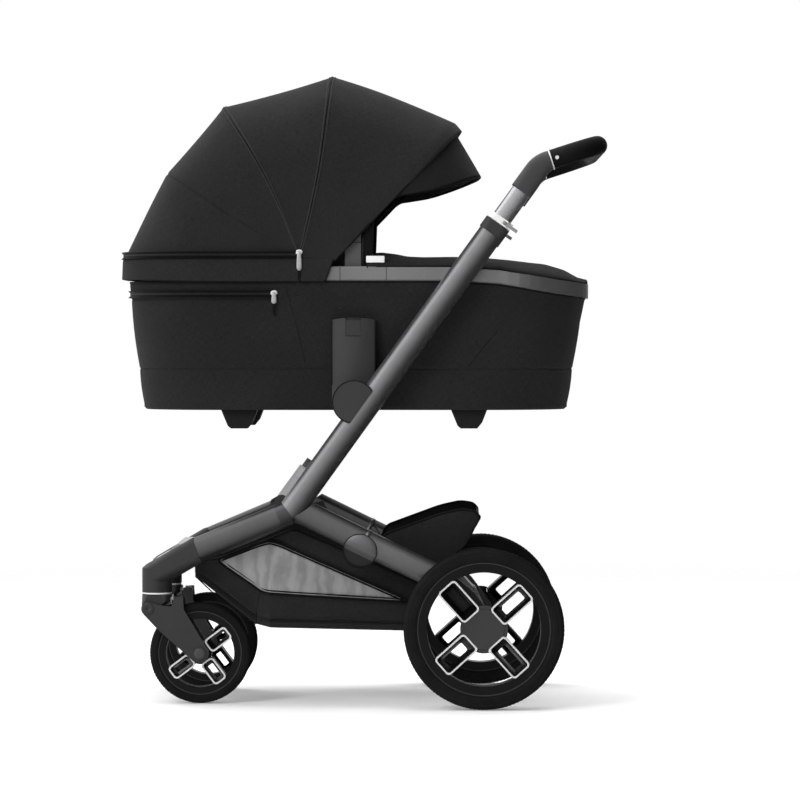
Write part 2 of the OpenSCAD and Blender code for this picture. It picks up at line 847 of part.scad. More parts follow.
// Pulls of the zips on the carrycot's side and on the canopy
module zip_pulls() {
    color(silver) both_sides() {
        slab(cot_half + 0.3, 3) translate([-170, 750]) square([9, 12]);
        slab(canopy_half + 0.3, 3) translate([-121, 792]) square([7, 30]);
    }
}

front_leg(true);  // front_leg_left
front_leg(false);  // front_leg_right
rear_leg(true);  // rear_leg_left
rear_leg(false);  // rear_leg_right
frame_hinges();
caster_housings();
cross_bar();
cross_cover();
basket_shell();
basket_scoop();
lower_leg(true);  // lower_leg_left
lower_leg(false);  // lower_leg_right
axle_feet();
rear_axle();
brake_pedal();
rear_tyre(true);  // rear_tyre_left
rear_rim(true);  // rear_rim_left
rear_trim(true);  // rear_trim_left
rear_cap(true);  // rear_cap_left
rear_tyre(false);  // rear_tyre_right
rear_rim(false);  // rear_rim_right
rear_trim(false);  // rear_trim_right
rear_cap(false);  // rear_cap_right
knuckle(true);  // knuckle_left
fork(true);  // fork_left
front_tyre(true);  // front_tyre_left
front_rim(true);  // front_rim_left
front_trim(true);  // front_trim_left
knuckle(false);  // knuckle_right
fork(false);  // fork_right
front_tyre(false);  // front_tyre_right
front_rim(false);  // front_rim_right
front_trim(false);  // front_trim_right
pushbar(true);  // pushbar_left
pushbar(false);  // pushbar_right
tube_collars();
clamp_bands();
adapter_discs();
clamp_lever(true);  // clamp_lever_left
clamp_lever(false);  // clamp_lever_right
inner_tubes();
handle_elbows();
handle_trims();
handle_grip();
cot_shell();
cot_base();
cot_rim();
mattress();
apron();
adapter_brackets();
canopy_hinges();
canopy_rear();
zip_pulls();
canopy_front();
front_bow();
visor();
middle_bow();
release_button(true);  // release_button_left
release_button(false);  // release_button_right
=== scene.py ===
"""Looks of the baby stroller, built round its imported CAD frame: cloth, tyres, trim, light and camera."""

import json
import math

import bpy
import numpy as np
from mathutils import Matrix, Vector, noise
from mathutils.bvhtree import BVHTree


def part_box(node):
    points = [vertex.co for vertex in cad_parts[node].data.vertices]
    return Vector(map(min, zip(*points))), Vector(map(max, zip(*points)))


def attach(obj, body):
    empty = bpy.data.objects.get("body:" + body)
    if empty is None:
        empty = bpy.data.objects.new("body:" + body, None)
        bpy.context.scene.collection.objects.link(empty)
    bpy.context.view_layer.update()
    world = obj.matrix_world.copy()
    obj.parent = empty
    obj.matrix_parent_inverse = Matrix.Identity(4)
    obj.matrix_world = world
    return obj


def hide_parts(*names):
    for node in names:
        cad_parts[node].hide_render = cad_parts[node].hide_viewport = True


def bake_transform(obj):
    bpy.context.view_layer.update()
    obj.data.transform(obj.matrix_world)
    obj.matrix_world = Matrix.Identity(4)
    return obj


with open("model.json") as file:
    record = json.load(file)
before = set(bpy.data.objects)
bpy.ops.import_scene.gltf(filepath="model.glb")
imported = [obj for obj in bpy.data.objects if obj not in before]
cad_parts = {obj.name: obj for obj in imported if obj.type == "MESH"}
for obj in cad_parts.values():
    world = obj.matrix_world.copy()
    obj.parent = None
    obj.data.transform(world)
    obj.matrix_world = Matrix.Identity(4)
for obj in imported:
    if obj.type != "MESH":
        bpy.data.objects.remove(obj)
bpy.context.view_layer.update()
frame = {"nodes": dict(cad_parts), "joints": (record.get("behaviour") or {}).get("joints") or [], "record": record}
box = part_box
SIDES = ((-1, "left"), (1, "right"))
joints = {j["name"]: j for j in frame["joints"]}

# ---------------------------------------------------------------- meshes


def resample(points, n, closed=False):
    """n points evenly spaced along a polyline."""
    p = np.asarray(points, float)
    if closed:
        p = np.vstack([p, p[:1]])
    d = np.r_[0, np.cumsum(np.linalg.norm(np.diff(p, axis=0), axis=1))]
    t = np.linspace(0, d[-1], n + 1)[:-1] if closed else np.linspace(0, d[-1], n)
    return np.stack([np.interp(t, d, p[:, i]) for i in range(p.shape[1])], 1)


def smooth_path(points, n, rounds=3):
    """A polyline with its corners rounded off, resampled to n points."""
    p = np.asarray(points, float)
    for _ in range(rounds):
        a, b = p[:-1], p[1:]
        cut = np.empty((2 * len(a), p.shape[1]))
        cut[0::2], cut[1::2] = 0.75 * a + 0.25 * b, 0.25 * a + 0.75 * b
        p = np.vstack([p[:1], cut, p[-1:]])
    return resample(p, n)


def fillet(points, r, n, closed=False):
    """A polyline with each corner rounded off by about r, resampled to n points."""
    p = np.asarray(points, float)
    out = []
    for i, b in enumerate(p):
        if not closed and i in (0, len(p) - 1):
            out.append(b)
            continue
        a, c = p[i - 1], p[(i + 1) % len(p)]
        u, v = a - b, c - b
        lu, lv = np.linalg.norm(u), np.linalg.norm(v)
        d = min(r, 0.45 * lu, 0.45 * lv)
        start, end = b + u / lu * d, b + v / lv * d
        out += [(1 - t) ** 2 * start + 2 * t * (1 - t) * b + t * t * end for t in np.linspace(0, 1, 8)]
    return resample(out, n, closed)


def new_object(name, verts, faces, material, uvs=None):
    mesh = bpy.data.meshes.new(name)
    mesh.from_pydata([tuple(v) for v in verts], [], [tuple(int(i) for i in f) for f in faces])
    if uvs is not None:
        layer = mesh.uv_layers.new(name="UVMap")
        layer.data.foreach_set("uv", np.asarray(uvs, np.float32).ravel())
    mesh.materials.append(material)
    mesh.polygons.foreach_set("use_smooth", [True] * len(mesh.polygons))
    mesh.update()
    obj = bpy.data.objects.new(name, mesh)
    bpy.context.scene.collection.objects.link(obj)
    return obj


def grid(name, pts, material, wrap=False, flip=False):
    """A surface through rows of points, with UVs in metres. wrap joins the last column to the first."""
    pts = np.asarray(pts, float)
    rows, cols = pts.shape[:2]
    wide = np.concatenate([pts, pts[:, :1]], 1) if wrap else pts
    across = np.r_[0, np.cumsum(np.linalg.norm(np.diff(wide, axis=1), axis=2).mean(0))]
    along = np.r_[0, np.cumsum(np.linalg.norm(np.diff(wide, axis=0), axis=2).mean(1))]
    i, j = np.meshgrid(np.arange(rows - 1), np.arange(wide.shape[1] - 1), indexing="ij")
    i, j = i.ravel(), j.ravel()
    corners = [(i, j), (i, j + 1), (i + 1, j + 1), (i + 1, j)]
    if flip:
        corners.reverse()
    faces = np.stack([a * cols + b % cols for a, b in corners], 1)
    uvs = np.stack([np.stack([across[b], along[a]], 1) for a, b in corners], 1)
    return new_object(name, pts.reshape(-1, 3), faces, material, uvs)


def finalise(obj):
    """Applies an object's modifiers."""
    bpy.context.view_layer.update()
    graph = bpy.context.evaluated_depsgraph_get()
    mesh = bpy.data.meshes.new_from_object(obj.evaluated_get(graph))
    obj.modifiers.clear()
    obj.data = mesh
    return obj


def subdivide(obj):
    m = obj.modifiers.new("subdivision", "SUBSURF")
    m.levels = m.render_levels = 1


def thicken(obj, thick, offset=-1.0):
    m = obj.modifiers.new("thick", "SOLIDIFY")
    m.thickness, m.offset, m.use_rim, m.use_even_offset = thick, offset, True, False
    return finalise(obj)


def sweep(name, path, section, material, up=(0, 1, 0), closed=False, caps=True):
    """Sweeps a closed section of (across, up) points along a path. up is one direction, or one a point."""
    p, s = np.asarray(path, float), np.asarray(section, float)
    n = len(p)
    if closed:
        tangent = np.roll(p, -1, 0) - np.roll(p, 1, 0)
    else:
        tangent = np.gradient(p, axis=0)
    tangent /= np.linalg.norm(tangent, axis=1)[:, None]
    ups = np.broadcast_to(np.asarray(up, float), p.shape)
    side = np.cross(ups, tangent)
    side /= np.maximum(np.linalg.norm(side, axis=1), 1e-9)[:, None]
    top = np.cross(tangent, side)
    if s.ndim == 2:
        s = np.broadcast_to(s, (n, *s.shape))
    pts = p[:, None] + side[:, None] * s[:, :, :1] + top[:, None] * s[:, :, 1:]
    if closed:
        pts = np.concatenate([pts, pts[:1]], 0)
    obj = grid(name, pts, material, wrap=True, flip=True)
    if caps and not closed:
        m = s.shape[1]
        mesh = obj.data
        faces = [tuple(range(m)), tuple(range((n - 1) * m + m - 1, (n - 1) * m - 1, -1))]
        old = [tuple(f.vertices) for f in mesh.polygons]
        uv = np.zeros(len(mesh.loops) * 2, np.float32)
        mesh.uv_layers[0].data.foreach_get("uv", uv)
        verts = [tuple(v.co) for v in mesh.vertices]
        bpy.data.objects.remove(obj)
        bpy.data.meshes.remove(mesh)
        obj = new_object(name, verts, old + faces, material, np.r_[uv, np.zeros(4 * m, np.float32)])
    return obj


def ring_section(r, sides=10, squash=1.0):
    a = np.linspace(0, 2 * math.pi, sides, endpoint=False)
    return np.stack([r * np.cos(a), r * squash * np.sin(a)], 1)


def strip_section(width, thick):
    """A flat tape's section, its edges rounded."""
    w, t = width / 2, thick / 2
    return np.array([(-w, 0), (-w + t, t), (0, t * 1.15), (w - t, t), (w, 0), (w - t, -t), (-w + t, -t)])


def tube(name, path, r, material, sides=10, closed=False, up=None):
    if up is None:
        span = np.ptp(np.asarray(path, float), axis=0)
        up = np.eye(3)[int(np.argmin(span))]
    return sweep(name, path, ring_section(r, sides), material, up, closed)


def lathe(name, profile, centre, material, steps=96, axis="Y", ripple=None):
    """Turns a closed profile of (radius, along the axis) about an axis. ripple changes the radii by angle."""
    p = np.asarray(profile, float)
    a = np.linspace(0, 2 * math.pi, steps, endpoint=False)
    r = np.broadcast_to(p[:, 0], (steps, len(p))).copy()
    if ripple is not None:
        r += ripple(a[:, None], p[None])
    along = np.broadcast_to(p[:, 1], r.shape)
    c, s = np.cos(a)[:, None] * r, np.sin(a)[:, None] * r
    order = {"Y": (c, along, s), "Z": (s, c, along), "X": (along, s, c)}[axis]
    pts = np.stack(order, 2) + np.asarray(centre, float)
    pts = np.concatenate([pts, pts[:1]], 0)
    obj = grid(name, pts, material, wrap=True, flip=axis != "Y")
    weld = obj.modifiers.new("weld", "WELD")
    weld.merge_threshold = 1e-6
    return finalise(obj)


def join(name, objs):
    """Joins meshes that share a material into one object."""
    verts, faces, uvs, base = [], [], [], 0
    material = objs[0].data.materials[0]
    for o in objs:
        mesh = o.data
        verts += [tuple(v.co) for v in mesh.vertices]
        faces += [tuple(base + i for i in f.vertices) for f in mesh.polygons]
        uv = np.zeros(len(mesh.loops) * 2, np.float32)
        if mesh.uv_layers:
            mesh.uv_layers[0].data.foreach_get("uv", uv)
        uvs.append(uv)
        base += len(mesh.vertices)
        bpy.data.objects.remove(o)
        bpy.data.meshes.remove(mesh)
    return new_object(name, verts, faces, material, np.concatenate(uvs))


def wrinkle(points, scale, seed=0.0):
    """Smooth noise from -1 to 1 at each point."""
    flat = np.asarray(points, float).reshape(-1, 3)
    out = [noise.noise(Vector((*(p * scale),)) + Vector((seed, 2.7 * seed, 0))) for p in flat]
    return np.array(out).reshape(np.asarray(points).shape[:-1])


def bump_at(x, middle, half):
    """A smooth bell, 1 at the middle and near 0 beyond about twice half."""
    return np.exp(-(((np.asarray(x) - middle) / half) ** 2))


def cad_point(joint):
    return Vector(joints[joint]["pos_m"])


def middle_of(node):
    low, high = box(node)
    return (low + high) / 2


def outer_y(node, sign):
    """Where a node's outer face lies, on the left (-1) or on the right (1)."""
    return box(node)[sign > 0].y


# ---------------------------------------------------------------- materials


class Shader:
    """Builds one material's nodes."""

    def __init__(self, name, color, rough, metal=0.0, **sockets):
        self.mat = bpy.data.materials.new(name)
        self.mat.use_nodes = True
        self.tree = self.mat.node_tree
        self.bsdf = self.tree.nodes["Principled BSDF"]
        self.color = (*color, 1)
        self.bsdf.inputs["Base Color"].default_value = self.color
        self.bsdf.inputs["Roughness"].default_value = rough
        self.bsdf.inputs["Metallic"].default_value = metal
        for key, value in sockets.items():
            self.bsdf.inputs[key.replace("_", " ")].default_value = value
        self.rough = rough
        self.coords = self.node("ShaderNodeTexCoord")
        self.height = None

    def node(self, kind, **values):
        n = self.tree.nodes.new(kind)
        for key, value in values.items():
            if key in n.inputs:
                n.inputs[key].default_value = value
            else:
                setattr(n, key, value)
        return n

    def link(self, a, b):
        self.tree.links.new(a, b)

    def mapped(self, scale, source="Object"):
        m = self.node("ShaderNodeMapping")
        m.inputs["Scale"].default_value = scale if hasattr(scale, "__len__") else (scale,) * 3
        self.link(self.coords.outputs[source], m.inputs["Vector"])
        return m.outputs["Vector"]

    def noise(self, scale, detail=2.0, source="Object"):
        n = self.node("ShaderNodeTexNoise", Detail=detail)
        n.inputs["Scale"].default_value = 1.0
        self.link(self.mapped(scale, source), n.inputs["Vector"])
        return n.outputs["Fac"]

    def math(self, operation, a, b):
        n = self.node("ShaderNodeMath", operation=operation)
        for socket, value in zip(n.inputs, (a, b)):
            if isinstance(value, (int, float)):
                socket.default_value = value
            else:
                self.link(value, socket)
        return n.outputs[0]

    def ramp(self, fac, low, high, a, b):
        """Maps fac from low..high to a..b, kept inside."""
        n = self.node("ShaderNodeMapRange")
        self.link(fac, n.inputs["Value"])
        for key, value in zip(("From Min", "From Max", "To Min", "To Max"), (low, high, a, b)):
            n.inputs[key].default_value = value
        return n.outputs["Result"]

    def clouds(self, scale, detail, low=0.35, high=0.65):
        """Noise, with its values from low to high spread over 0 to 1."""
        return self.ramp(self.noise(scale, detail), low, high, 0, 1)

    def tint(self, fac, low, high, before=None):
        """Colour between low and high by fac; before is what a second tint multiplies."""
        n = self.node("ShaderNodeMix", data_type="RGBA")
        n.inputs[6].default_value = (*low, 1)
        n.inputs[7].default_value = (*high, 1)
        self.link(fac, n.inputs[0])
        out = n.outputs[2]
        if before is not None:
            m = self.node("ShaderNodeMix", data_type="RGBA", blend_type="MULTIPLY")
            m.inputs[0].default_value = 1
            self.link(before, m.inputs[6])
            self.link(out, m.inputs[7])
            out = m.outputs[2]
        self.link(out, self.bsdf.inputs["Base Color"])
        return out

    def shine(self, fac, spread):
        """Roughness that varies by spread about its value."""
        value = self.ramp(fac, 0.3, 0.7, max(self.rough - spread, 0.02), min(self.rough + spread, 1))
        self.link(value, self.bsdf.inputs["Roughness"])

    def emboss(self, height, distance, strength=1.0):
        n = self.node("ShaderNodeBump")
        n.inputs["Strength"].default_value = strength
        n.inputs["Distance"].default_value = distance
        self.link(height, n.inputs["Height"])
        if self.height is not None:
            self.link(self.height, n.inputs["Normal"])
        self.height = n.outputs["Normal"]
        self.link(self.height, self.bsdf.inputs["Normal"])

    def soften(self, radius):
        """Rounds sharp edges in the shading."""
        n = self.node("ShaderNodeBevel", samples=4)
        n.inputs["Radius"].default_value = radius
        self.height = n.outputs["Normal"]
        self.link(self.height, self.bsdf.inputs["Normal"])


def scaled(color, k):
    return tuple(min(1.0, c * k) for c in color)


# A band texture of scale 1 repeats in this many metres
BAND = 0.31416


def woven(name, color, thread=0.0011, contrast=0.5, rough=0.9, sheen=0.06, light=1.0):
    """Plain weave with melange threads. UVs are in metres, so a thread has its real width."""
    s = Shader(name, color, rough, Sheen_Weight=sheen, Sheen_Roughness=0.45)
    s.bsdf.inputs["Sheen Tint"].default_value = (0.85, 0.86, 0.9, 1)
    s.bsdf.inputs["Specular IOR Level"].default_value = 0.12
    waves = []
    for direction in ("X", "Y"):
        w = s.node("ShaderNodeTexWave", wave_type="BANDS", bands_direction=direction)
        w.inputs["Scale"].default_value = BAND / thread
        w.inputs["Distortion"].default_value = 0.35
        w.inputs["Detail Scale"].default_value = 2.0
        s.link(s.coords.outputs["UV"], w.inputs["Vector"])
        waves.append(w.outputs["Fac"])
    cloth = s.math("MULTIPLY", waves[0], waves[1])
    streak_u = s.noise((120, 1500, 1), 3, "UV")
    streak_v = s.noise((1500, 120, 1), 3, "UV")
    streaks = s.math("ADD", streak_u, streak_v)
    dark, pale = scaled(color, 1 - contrast * 0.55), scaled(color, 1 + contrast)
    base = s.tint(s.ramp(streaks, 0.75, 1.25, 0, 1), dark, pale)
    s.tint(s.clouds(7.0, 3), (0.9 * light,) * 3, (1.08 * light,) * 3, base)
    s.shine(s.noise(420.0, 2), 0.05)
    s.emboss(s.noise(38.0, 3), 0.0012, 0.35)
    s.emboss(cloth, 0.0004, 0.5)
    return s.mat


def moulded(name, color, rough=0.45, metal=0.0, edge=0.0007, **sockets):
    """Moulded plastic or painted metal: fine grain, uneven gloss, faint handling marks."""
    s = Shader(name, color, rough, metal, **sockets)
    s.soften(edge)
    base = s.tint(s.clouds(9.0, 4), scaled(color, 0.93), scaled(color, 1.07))
    s.tint(s.clouds(260.0, 5, 0.62, 0.74), (1, 1, 1), (1.125,) * 3, base)
    s.shine(s.noise((30.0, 30.0, 55.0), 4), 0.07)
    s.emboss(s.noise(1600.0, 2), 0.00012, 0.6)
    return s.mat


def brushed(name, color, rough, along=(900, 60, 900), metal=1.0, streak=0.1):
    """Anodised or satin metal, its fine lines running along one way."""
    s = Shader(name, color, rough, metal)
    s.soften(0.0006)
    lines = s.noise(along, 3)
    base = s.tint(s.ramp(lines, 0.3, 0.7, 0, 1), scaled(color, 1 - streak), scaled(color, 1 + streak))
    s.tint(s.clouds(6.0, 3), (0.95,) * 3, (1.04,) * 3, base)
    s.shine(s.noise(45.0, 4), 0.05)
    s.emboss(lines, 0.00005, 0.5)
    return s.mat


def crowned(name, color, rough, point, slope, curve=8.0, metal=0.9, edge=None, roll=0.0):
    """A flat face that looks crowned across the line through point at slope, in the side view.

    It rolls over at its lower side by roll, and from edge down its colour is painted darker, a painted shade below
    the tube's lower edge.
    """
    s = Shader(name, color, rough, metal)
    s.soften(0.0006)
    split = s.node("ShaderNodeSeparateXYZ")
    s.link(s.coords.outputs["Object"], split.inputs[0])
    c, k = math.cos(math.radians(slope)), math.sin(math.radians(slope))
    x = s.math("MULTIPLY", s.math("SUBTRACT", split.outputs["X"], point[0]), k)
    z = s.math("MULTIPLY", s.math("SUBTRACT", split.outputs["Z"], point[1]), c)
    across = s.math("SUBTRACT", x, z)
    square = s.math("MULTIPLY", across, across)
    lower = s.math("MAXIMUM", across, 0.0)
    fourth = s.math("MULTIPLY", square, s.math("MULTIPLY", lower, lower))
    rolled = s.math("MULTIPLY", fourth, -14000.0 * roll)
    s.emboss(s.math("ADD", s.math("MULTIPLY", square, -curve), rolled), 1.0)
    base = s.tint(s.clouds(70.0, 3, 0.3, 0.7), scaled(color, 0.97), scaled(color, 1.03))
    base = s.tint(s.clouds(6.0, 3), (0.96,) * 3, (1.04,) * 3, base)
    if edge:
        # Painted shade: from edge down the colour falls to 0.42 of itself, standing in for the shade below the
        # tube.
        s.tint(s.ramp(across, edge - 0.0004, edge + 0.0004, 0, 1), (1, 1, 1), (0.42,) * 3, base)
    s.shine(s.noise(45.0, 4), 0.04)
    return s.mat


def leatherette(name, color):
    s = Shader(name, color, 0.55, Specular_IOR_Level=0.25)
    v = s.node("ShaderNodeTexVoronoi", feature="DISTANCE_TO_EDGE")
    v.inputs["Scale"].default_value = 1.0
    warp = s.node("ShaderNodeVectorMath", operation="ADD")
    s.link(s.mapped(620.0), warp.inputs[0])
    n = s.node("ShaderNodeTexNoise")
    n.inputs["Scale"].default_value = 900.0
    s.link(s.coords.outputs["Object"], n.inputs["Vector"])
    s.link(n.outputs["Color"], warp.inputs[1])
    s.link(warp.outputs[0], v.inputs["Vector"])
    cells = s.ramp(v.outputs["Distance"], 0.0, 0.12, 0, 1)
    base = s.tint(cells, scaled(color, 0.6), scaled(color, 1.1))
    s.tint(s.clouds(14.0, 4), (0.88,) * 3, (1.1,) * 3, base)
    s.shine(s.noise(90.0, 3), 0.08)
    s.emboss(cells, 0.00025, 0.55)
    return s.mat


def rubber(name, color):
    s = Shader(name, color, 0.72, Specular_IOR_Level=0.22)
    base = s.tint(s.clouds(20.0, 4), scaled(color, 0.8), scaled(color, 1.25))
    s.tint(s.clouds(340.0, 4, 0.6, 0.72), (1, 1, 1), (1.5, 1.5, 1.48), base)
    s.shine(s.noise(60.0, 4), 0.08)
    s.emboss(s.noise(900.0, 3), 0.0003, 0.5)
    return s.mat


def netting(name, color):
    """Fine silver-grey net over a darker backing, with the slow bands that two nets make together."""
    s = Shader(name, color, 0.55, Sheen_Weight=0.1)
    s.bsdf.inputs["Specular IOR Level"].default_value = 0.4
    bands = s.node("ShaderNodeTexWave", wave_type="BANDS", bands_direction="X")
    bands.inputs["Scale"].default_value = 11.0
    bands.inputs["Distortion"].default_value = 9.0
    bands.inputs["Detail"].default_value = 5.0
    bands.inputs["Detail Scale"].default_value = 2.4
    s.link(s.mapped((1.0, 0.55, 1.0), "UV"), bands.inputs["Vector"])
    v = s.node("ShaderNodeTexVoronoi", feature="DISTANCE_TO_EDGE")
    v.inputs["Scale"].default_value = 1.0
    v.inputs["Randomness"].default_value = 0.12
    s.link(s.mapped((480, 620, 1), "UV"), v.inputs["Vector"])
    holes = s.ramp(v.outputs["Distance"], 0.12, 0.24, 1, 0)
    base = s.tint(s.ramp(bands.outputs["Fac"], 0.1, 0.9, 0, 1), scaled(color, 0.86), scaled(color, 1.14))
    base = s.tint(s.clouds(26.0, 3), (0.92,) * 3, (1.06,) * 3, base)
    s.tint(holes, (0.62,) * 3, (1.12,) * 3, base)
    s.emboss(holes, 0.0004, 0.5)
    return s.mat


def zip_tape(name, color):
    """Woven tape with the ridge of closed teeth down its middle."""
    s = Shader(name, color, 0.5)
    teeth = s.node("ShaderNodeTexWave", wave_type="BANDS", bands_direction="Y")
    teeth.inputs["Scale"].default_value = BAND / 0.0022
    s.link(s.coords.outputs["UV"], teeth.inputs["Vector"])
    base = s.tint(teeth.outputs["Fac"], scaled(color, 0.5), scaled(color, 1.4))
    s.tint(s.clouds(300.0, 3, 0.3, 0.7), (0.85,) * 3, (1.1,) * 3, base)
    s.emboss(teeth.outputs["Fac"], 0.0006, 0.8)
    return s.mat


FABRIC = (0.0150, 0.0150, 0.0154)
GRAPHITE = (0.36, 0.362, 0.368)
SILVER = (0.72, 0.725, 0.74)
mats = {
    "charcoal_fabric": woven("charcoal_weave", FABRIC),
    "canopy_fabric": woven("canopy_weave", (0.0170, 0.0170, 0.0174)),
    "visor_fabric": woven("visor_weave", (0.0125, 0.0125, 0.0130)),
    "lining_fabric": woven("lining_weave", (0.045, 0.045, 0.047), 0.0014, 0.3, 0.92),
    "mattress_fabric": woven("mattress_knit", (0.62, 0.62, 0.6), 0.0018, 0.1, 0.95),
    "binding": woven("binding_tape", (0.005, 0.005, 0.0054), 0.0008, 0.4, 0.7, 0.1),
    "frame_tube": brushed("graphite_tube", GRAPHITE, 0.34, (160, 160, 40), 0.9, streak=0.03),
    "silver_tube": brushed("silver_tube", (0.46, 0.465, 0.475), 0.26, (160, 160, 40), streak=0.03),
    "silver_cover": brushed("silver_cover", (0.74, 0.745, 0.76), 0.30, (60, 500, 500), 0.75, streak=0.015),
    "steel": brushed("satin_steel", (0.5, 0.51, 0.52), 0.3),
    "chrome_trim": brushed("chrome", (0.90, 0.905, 0.915), 0.2, metal=0.45, streak=0.03),
    "dark_plastic": moulded("dark_plastic", (0.030, 0.030, 0.031), 0.5),
    "black_plastic": moulded("black_plastic", (0.008, 0.008, 0.008), 0.42),
    "grey_plastic": moulded("grey_plastic", (0.12, 0.12, 0.122), 0.5),
    "hub_plastic": moulded("hub_plastic", (0.034, 0.034, 0.035), 0.52),
    "lever_plastic": moulded("lever_plastic", (0.24, 0.24, 0.245), 0.4),
    "housing_plastic": moulded("housing_plastic", (0.0225, 0.0225, 0.0232), 0.48),
    # Painted highlight: the elbows' plastic is lighter than the dark plastic to stand in for the highlight they
    # catch.
    "elbow_plastic_painted_highlight": moulded("elbow_plastic_painted_highlight", (0.044, 0.044, 0.045), 0.42),
    "cap_plastic": moulded("cap_plastic", (0.055, 0.055, 0.056), 0.45),
    "white_plastic": moulded("white_plastic", (0.8, 0.8, 0.79), 0.4),
    "tyre_rubber": rubber("tyre_rubber", (0.0060, 0.0060, 0.0063)),
    "grip_leather": leatherette("grip_leather", (0.006, 0.006, 0.0063)),
    "rim_plastic": moulded("rim_plastic", (0.390, 0.390, 0.395), 0.34, metal=0.85, edge=0.005),
    "pillar_plastic": moulded("pillar_plastic", (0.075, 0.075, 0.076), 0.4),
    "base_plastic": moulded("base_plastic", (0.010, 0.010, 0.0102), 0.55, Specular_IOR_Level=0.25),
    "rim_black": moulded("wheel_rim_black", (0.0045, 0.0045, 0.0047), 0.35, Specular_IOR_Level=0.3),
    # Painted highlight: the piping cord is lighter than the canopy cloth, standing in for the light along the
    # raised piping.
    "piping": woven("piping_cord_painted_highlight", (0.027, 0.027, 0.028), 0.0007, 0.3, 0.8),
    "net": netting("silver_net", (0.24, 0.24, 0.24)),
    "zip": zip_tape("zip_tape", (0.012, 0.012, 0.013)),
}

finish_of = {p["node"]: p["material_slot"] for p in frame["record"]["subparts"]}
finish_of.update({
    "cot_rim": "rim_plastic", "canopy_hinges": "pillar_plastic", "cot_base": "base_plastic",
    "clamp_bands": "white_plastic", "caster_housings": "housing_plastic", "front_bow": "canopy_fabric",
    "middle_bow": "canopy_fabric", "adapter_discs": "hub_plastic", "adapter_brackets": "bracket_plastic",
})
for _, side in SIDES:
    finish_of["clamp_lever_" + side] = "lever_plastic"
    finish_of["rear_cap_" + side] = "hub_plastic"
    finish_of["rear_rim_" + side] = finish_of["front_rim_" + side] = "rim_black"

# A point on each tube's line in the side view, and the line's slope in degrees
PUSHBAR_LINE = ((-0.1196, 0.3731), 54.2)
REAR_LEG_LINE = ((-0.140, 0.370), -26.06)
TUBE_LINES = {"pushbar": PUSHBAR_LINE, "inner_tubes": PUSHBAR_LINE, "front_leg": ((-0.300, 0.2847), 22.5),
              "rear_leg": REAR_LEG_LINE, "lower_leg": REAR_LEG_LINE}
# Painted shade: the one graphite colour, darkened on each tube that lies more in shade; the pushbar keeps it
# whole.
TUBE_PAINTED_SHADE = {"front_leg": 0.42, "rear_leg": 0.72, "lower_leg": 0.86}
TUBE_ROLL = 2.2
# How far the pushbar's and the rear frame's tubes stand from the middle
TUBE_Y = 0.238
for name, (point, slope) in TUBE_LINES.items():
    bright = name == "inner_tubes"
    shade = SILVER if bright else scaled(GRAPHITE, TUBE_PAINTED_SHADE.get(name, 1.0))
    curve = 12.0 if name == "pushbar" else 8.0
    rough = 0.30 if bright else 0.36
    mats["tube_" + name] = crowned("tube_" + name, shade, rough, point, slope, curve, roll=TUBE_ROLL)
    for node_name in finish_of:
        if node_name.startswith(name):
            finish_of[node_name] = "tube_" + name
# Painted shade: the knee cap is the graphite darkened to 0.85, like the lower leg, and painted darker from edge
# 0.0248 down.
mats["knee_cap"] = crowned("knee_cap", scaled(GRAPHITE, 0.85), 0.36, *REAR_LEG_LINE, edge=0.0248,
                           roll=TUBE_ROLL)
mats["bracket_plastic"] = crowned("bracket_plastic", (0.036, 0.036, 0.037), 0.5, (-0.0184, 0.62), 90.0, 7.0,
                                  0.0)
for node_name, obj in frame["nodes"].items():
    obj.data.materials.clear()
    obj.data.materials.append(mats[finish_of[node_name]])


def place(obj, body, replaced=()):
    """Rides a finished piece on a body, and stands it in for CAD nodes."""
    if replaced:
        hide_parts(*replaced)
    if body:
        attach(obj, body)
    return obj


def cord(name, path, r, body, slot, sides=10, up=(0, 1, 0), **more):
    """A thin line of binding along a path, such as a hem, an edge or a seam."""
    return place(tube(name, path, r, mats["binding"], sides, up=up, **more), body)


# ---------------------------------------------------------------- stage, light and camera

scene = bpy.context.scene


def disc_floor():
    radii = np.array([0, 0.4, 0.9, 1.6, 2.6, 4.0, 6.0])
    a = np.linspace(0, 2 * math.pi, 96, endpoint=False)
    pts = np.stack([radii[:, None] * np.cos(a), radii[:, None] * np.sin(a), np.zeros((len(radii), 96))], 2)
    pts[0] += 1e-4 * np.stack([np.cos(a), np.sin(a), 0 * a], 1)
    s = Shader("pale_floor", (0.93, 0.93, 0.93), 0.7, Emission_Color=(1, 1, 1, 1), Emission_Strength=0.16)
    far = s.node("ShaderNodeVectorMath", operation="LENGTH")
    s.link(s.coords.outputs["Object"], far.inputs[0])
    clear = s.node("ShaderNodeBsdfTransparent")
    blend = s.node("ShaderNodeMixShader")
    s.link(s.ramp(far.outputs["Value"], 1.0, 4.5, 0, 1), blend.inputs[0])
    s.link(s.bsdf.outputs[0], blend.inputs[1])
    s.link(clear.outputs[0], blend.inputs[2])
    s.link(blend.outputs[0], s.tree.nodes["Material Output"].inputs["Surface"])
    floor = grid("floor", pts, s.mat, wrap=True)
    floor.visible_glossy = False


disc_floor()

world = bpy.data.worlds.new("studio")
world.use_nodes = True


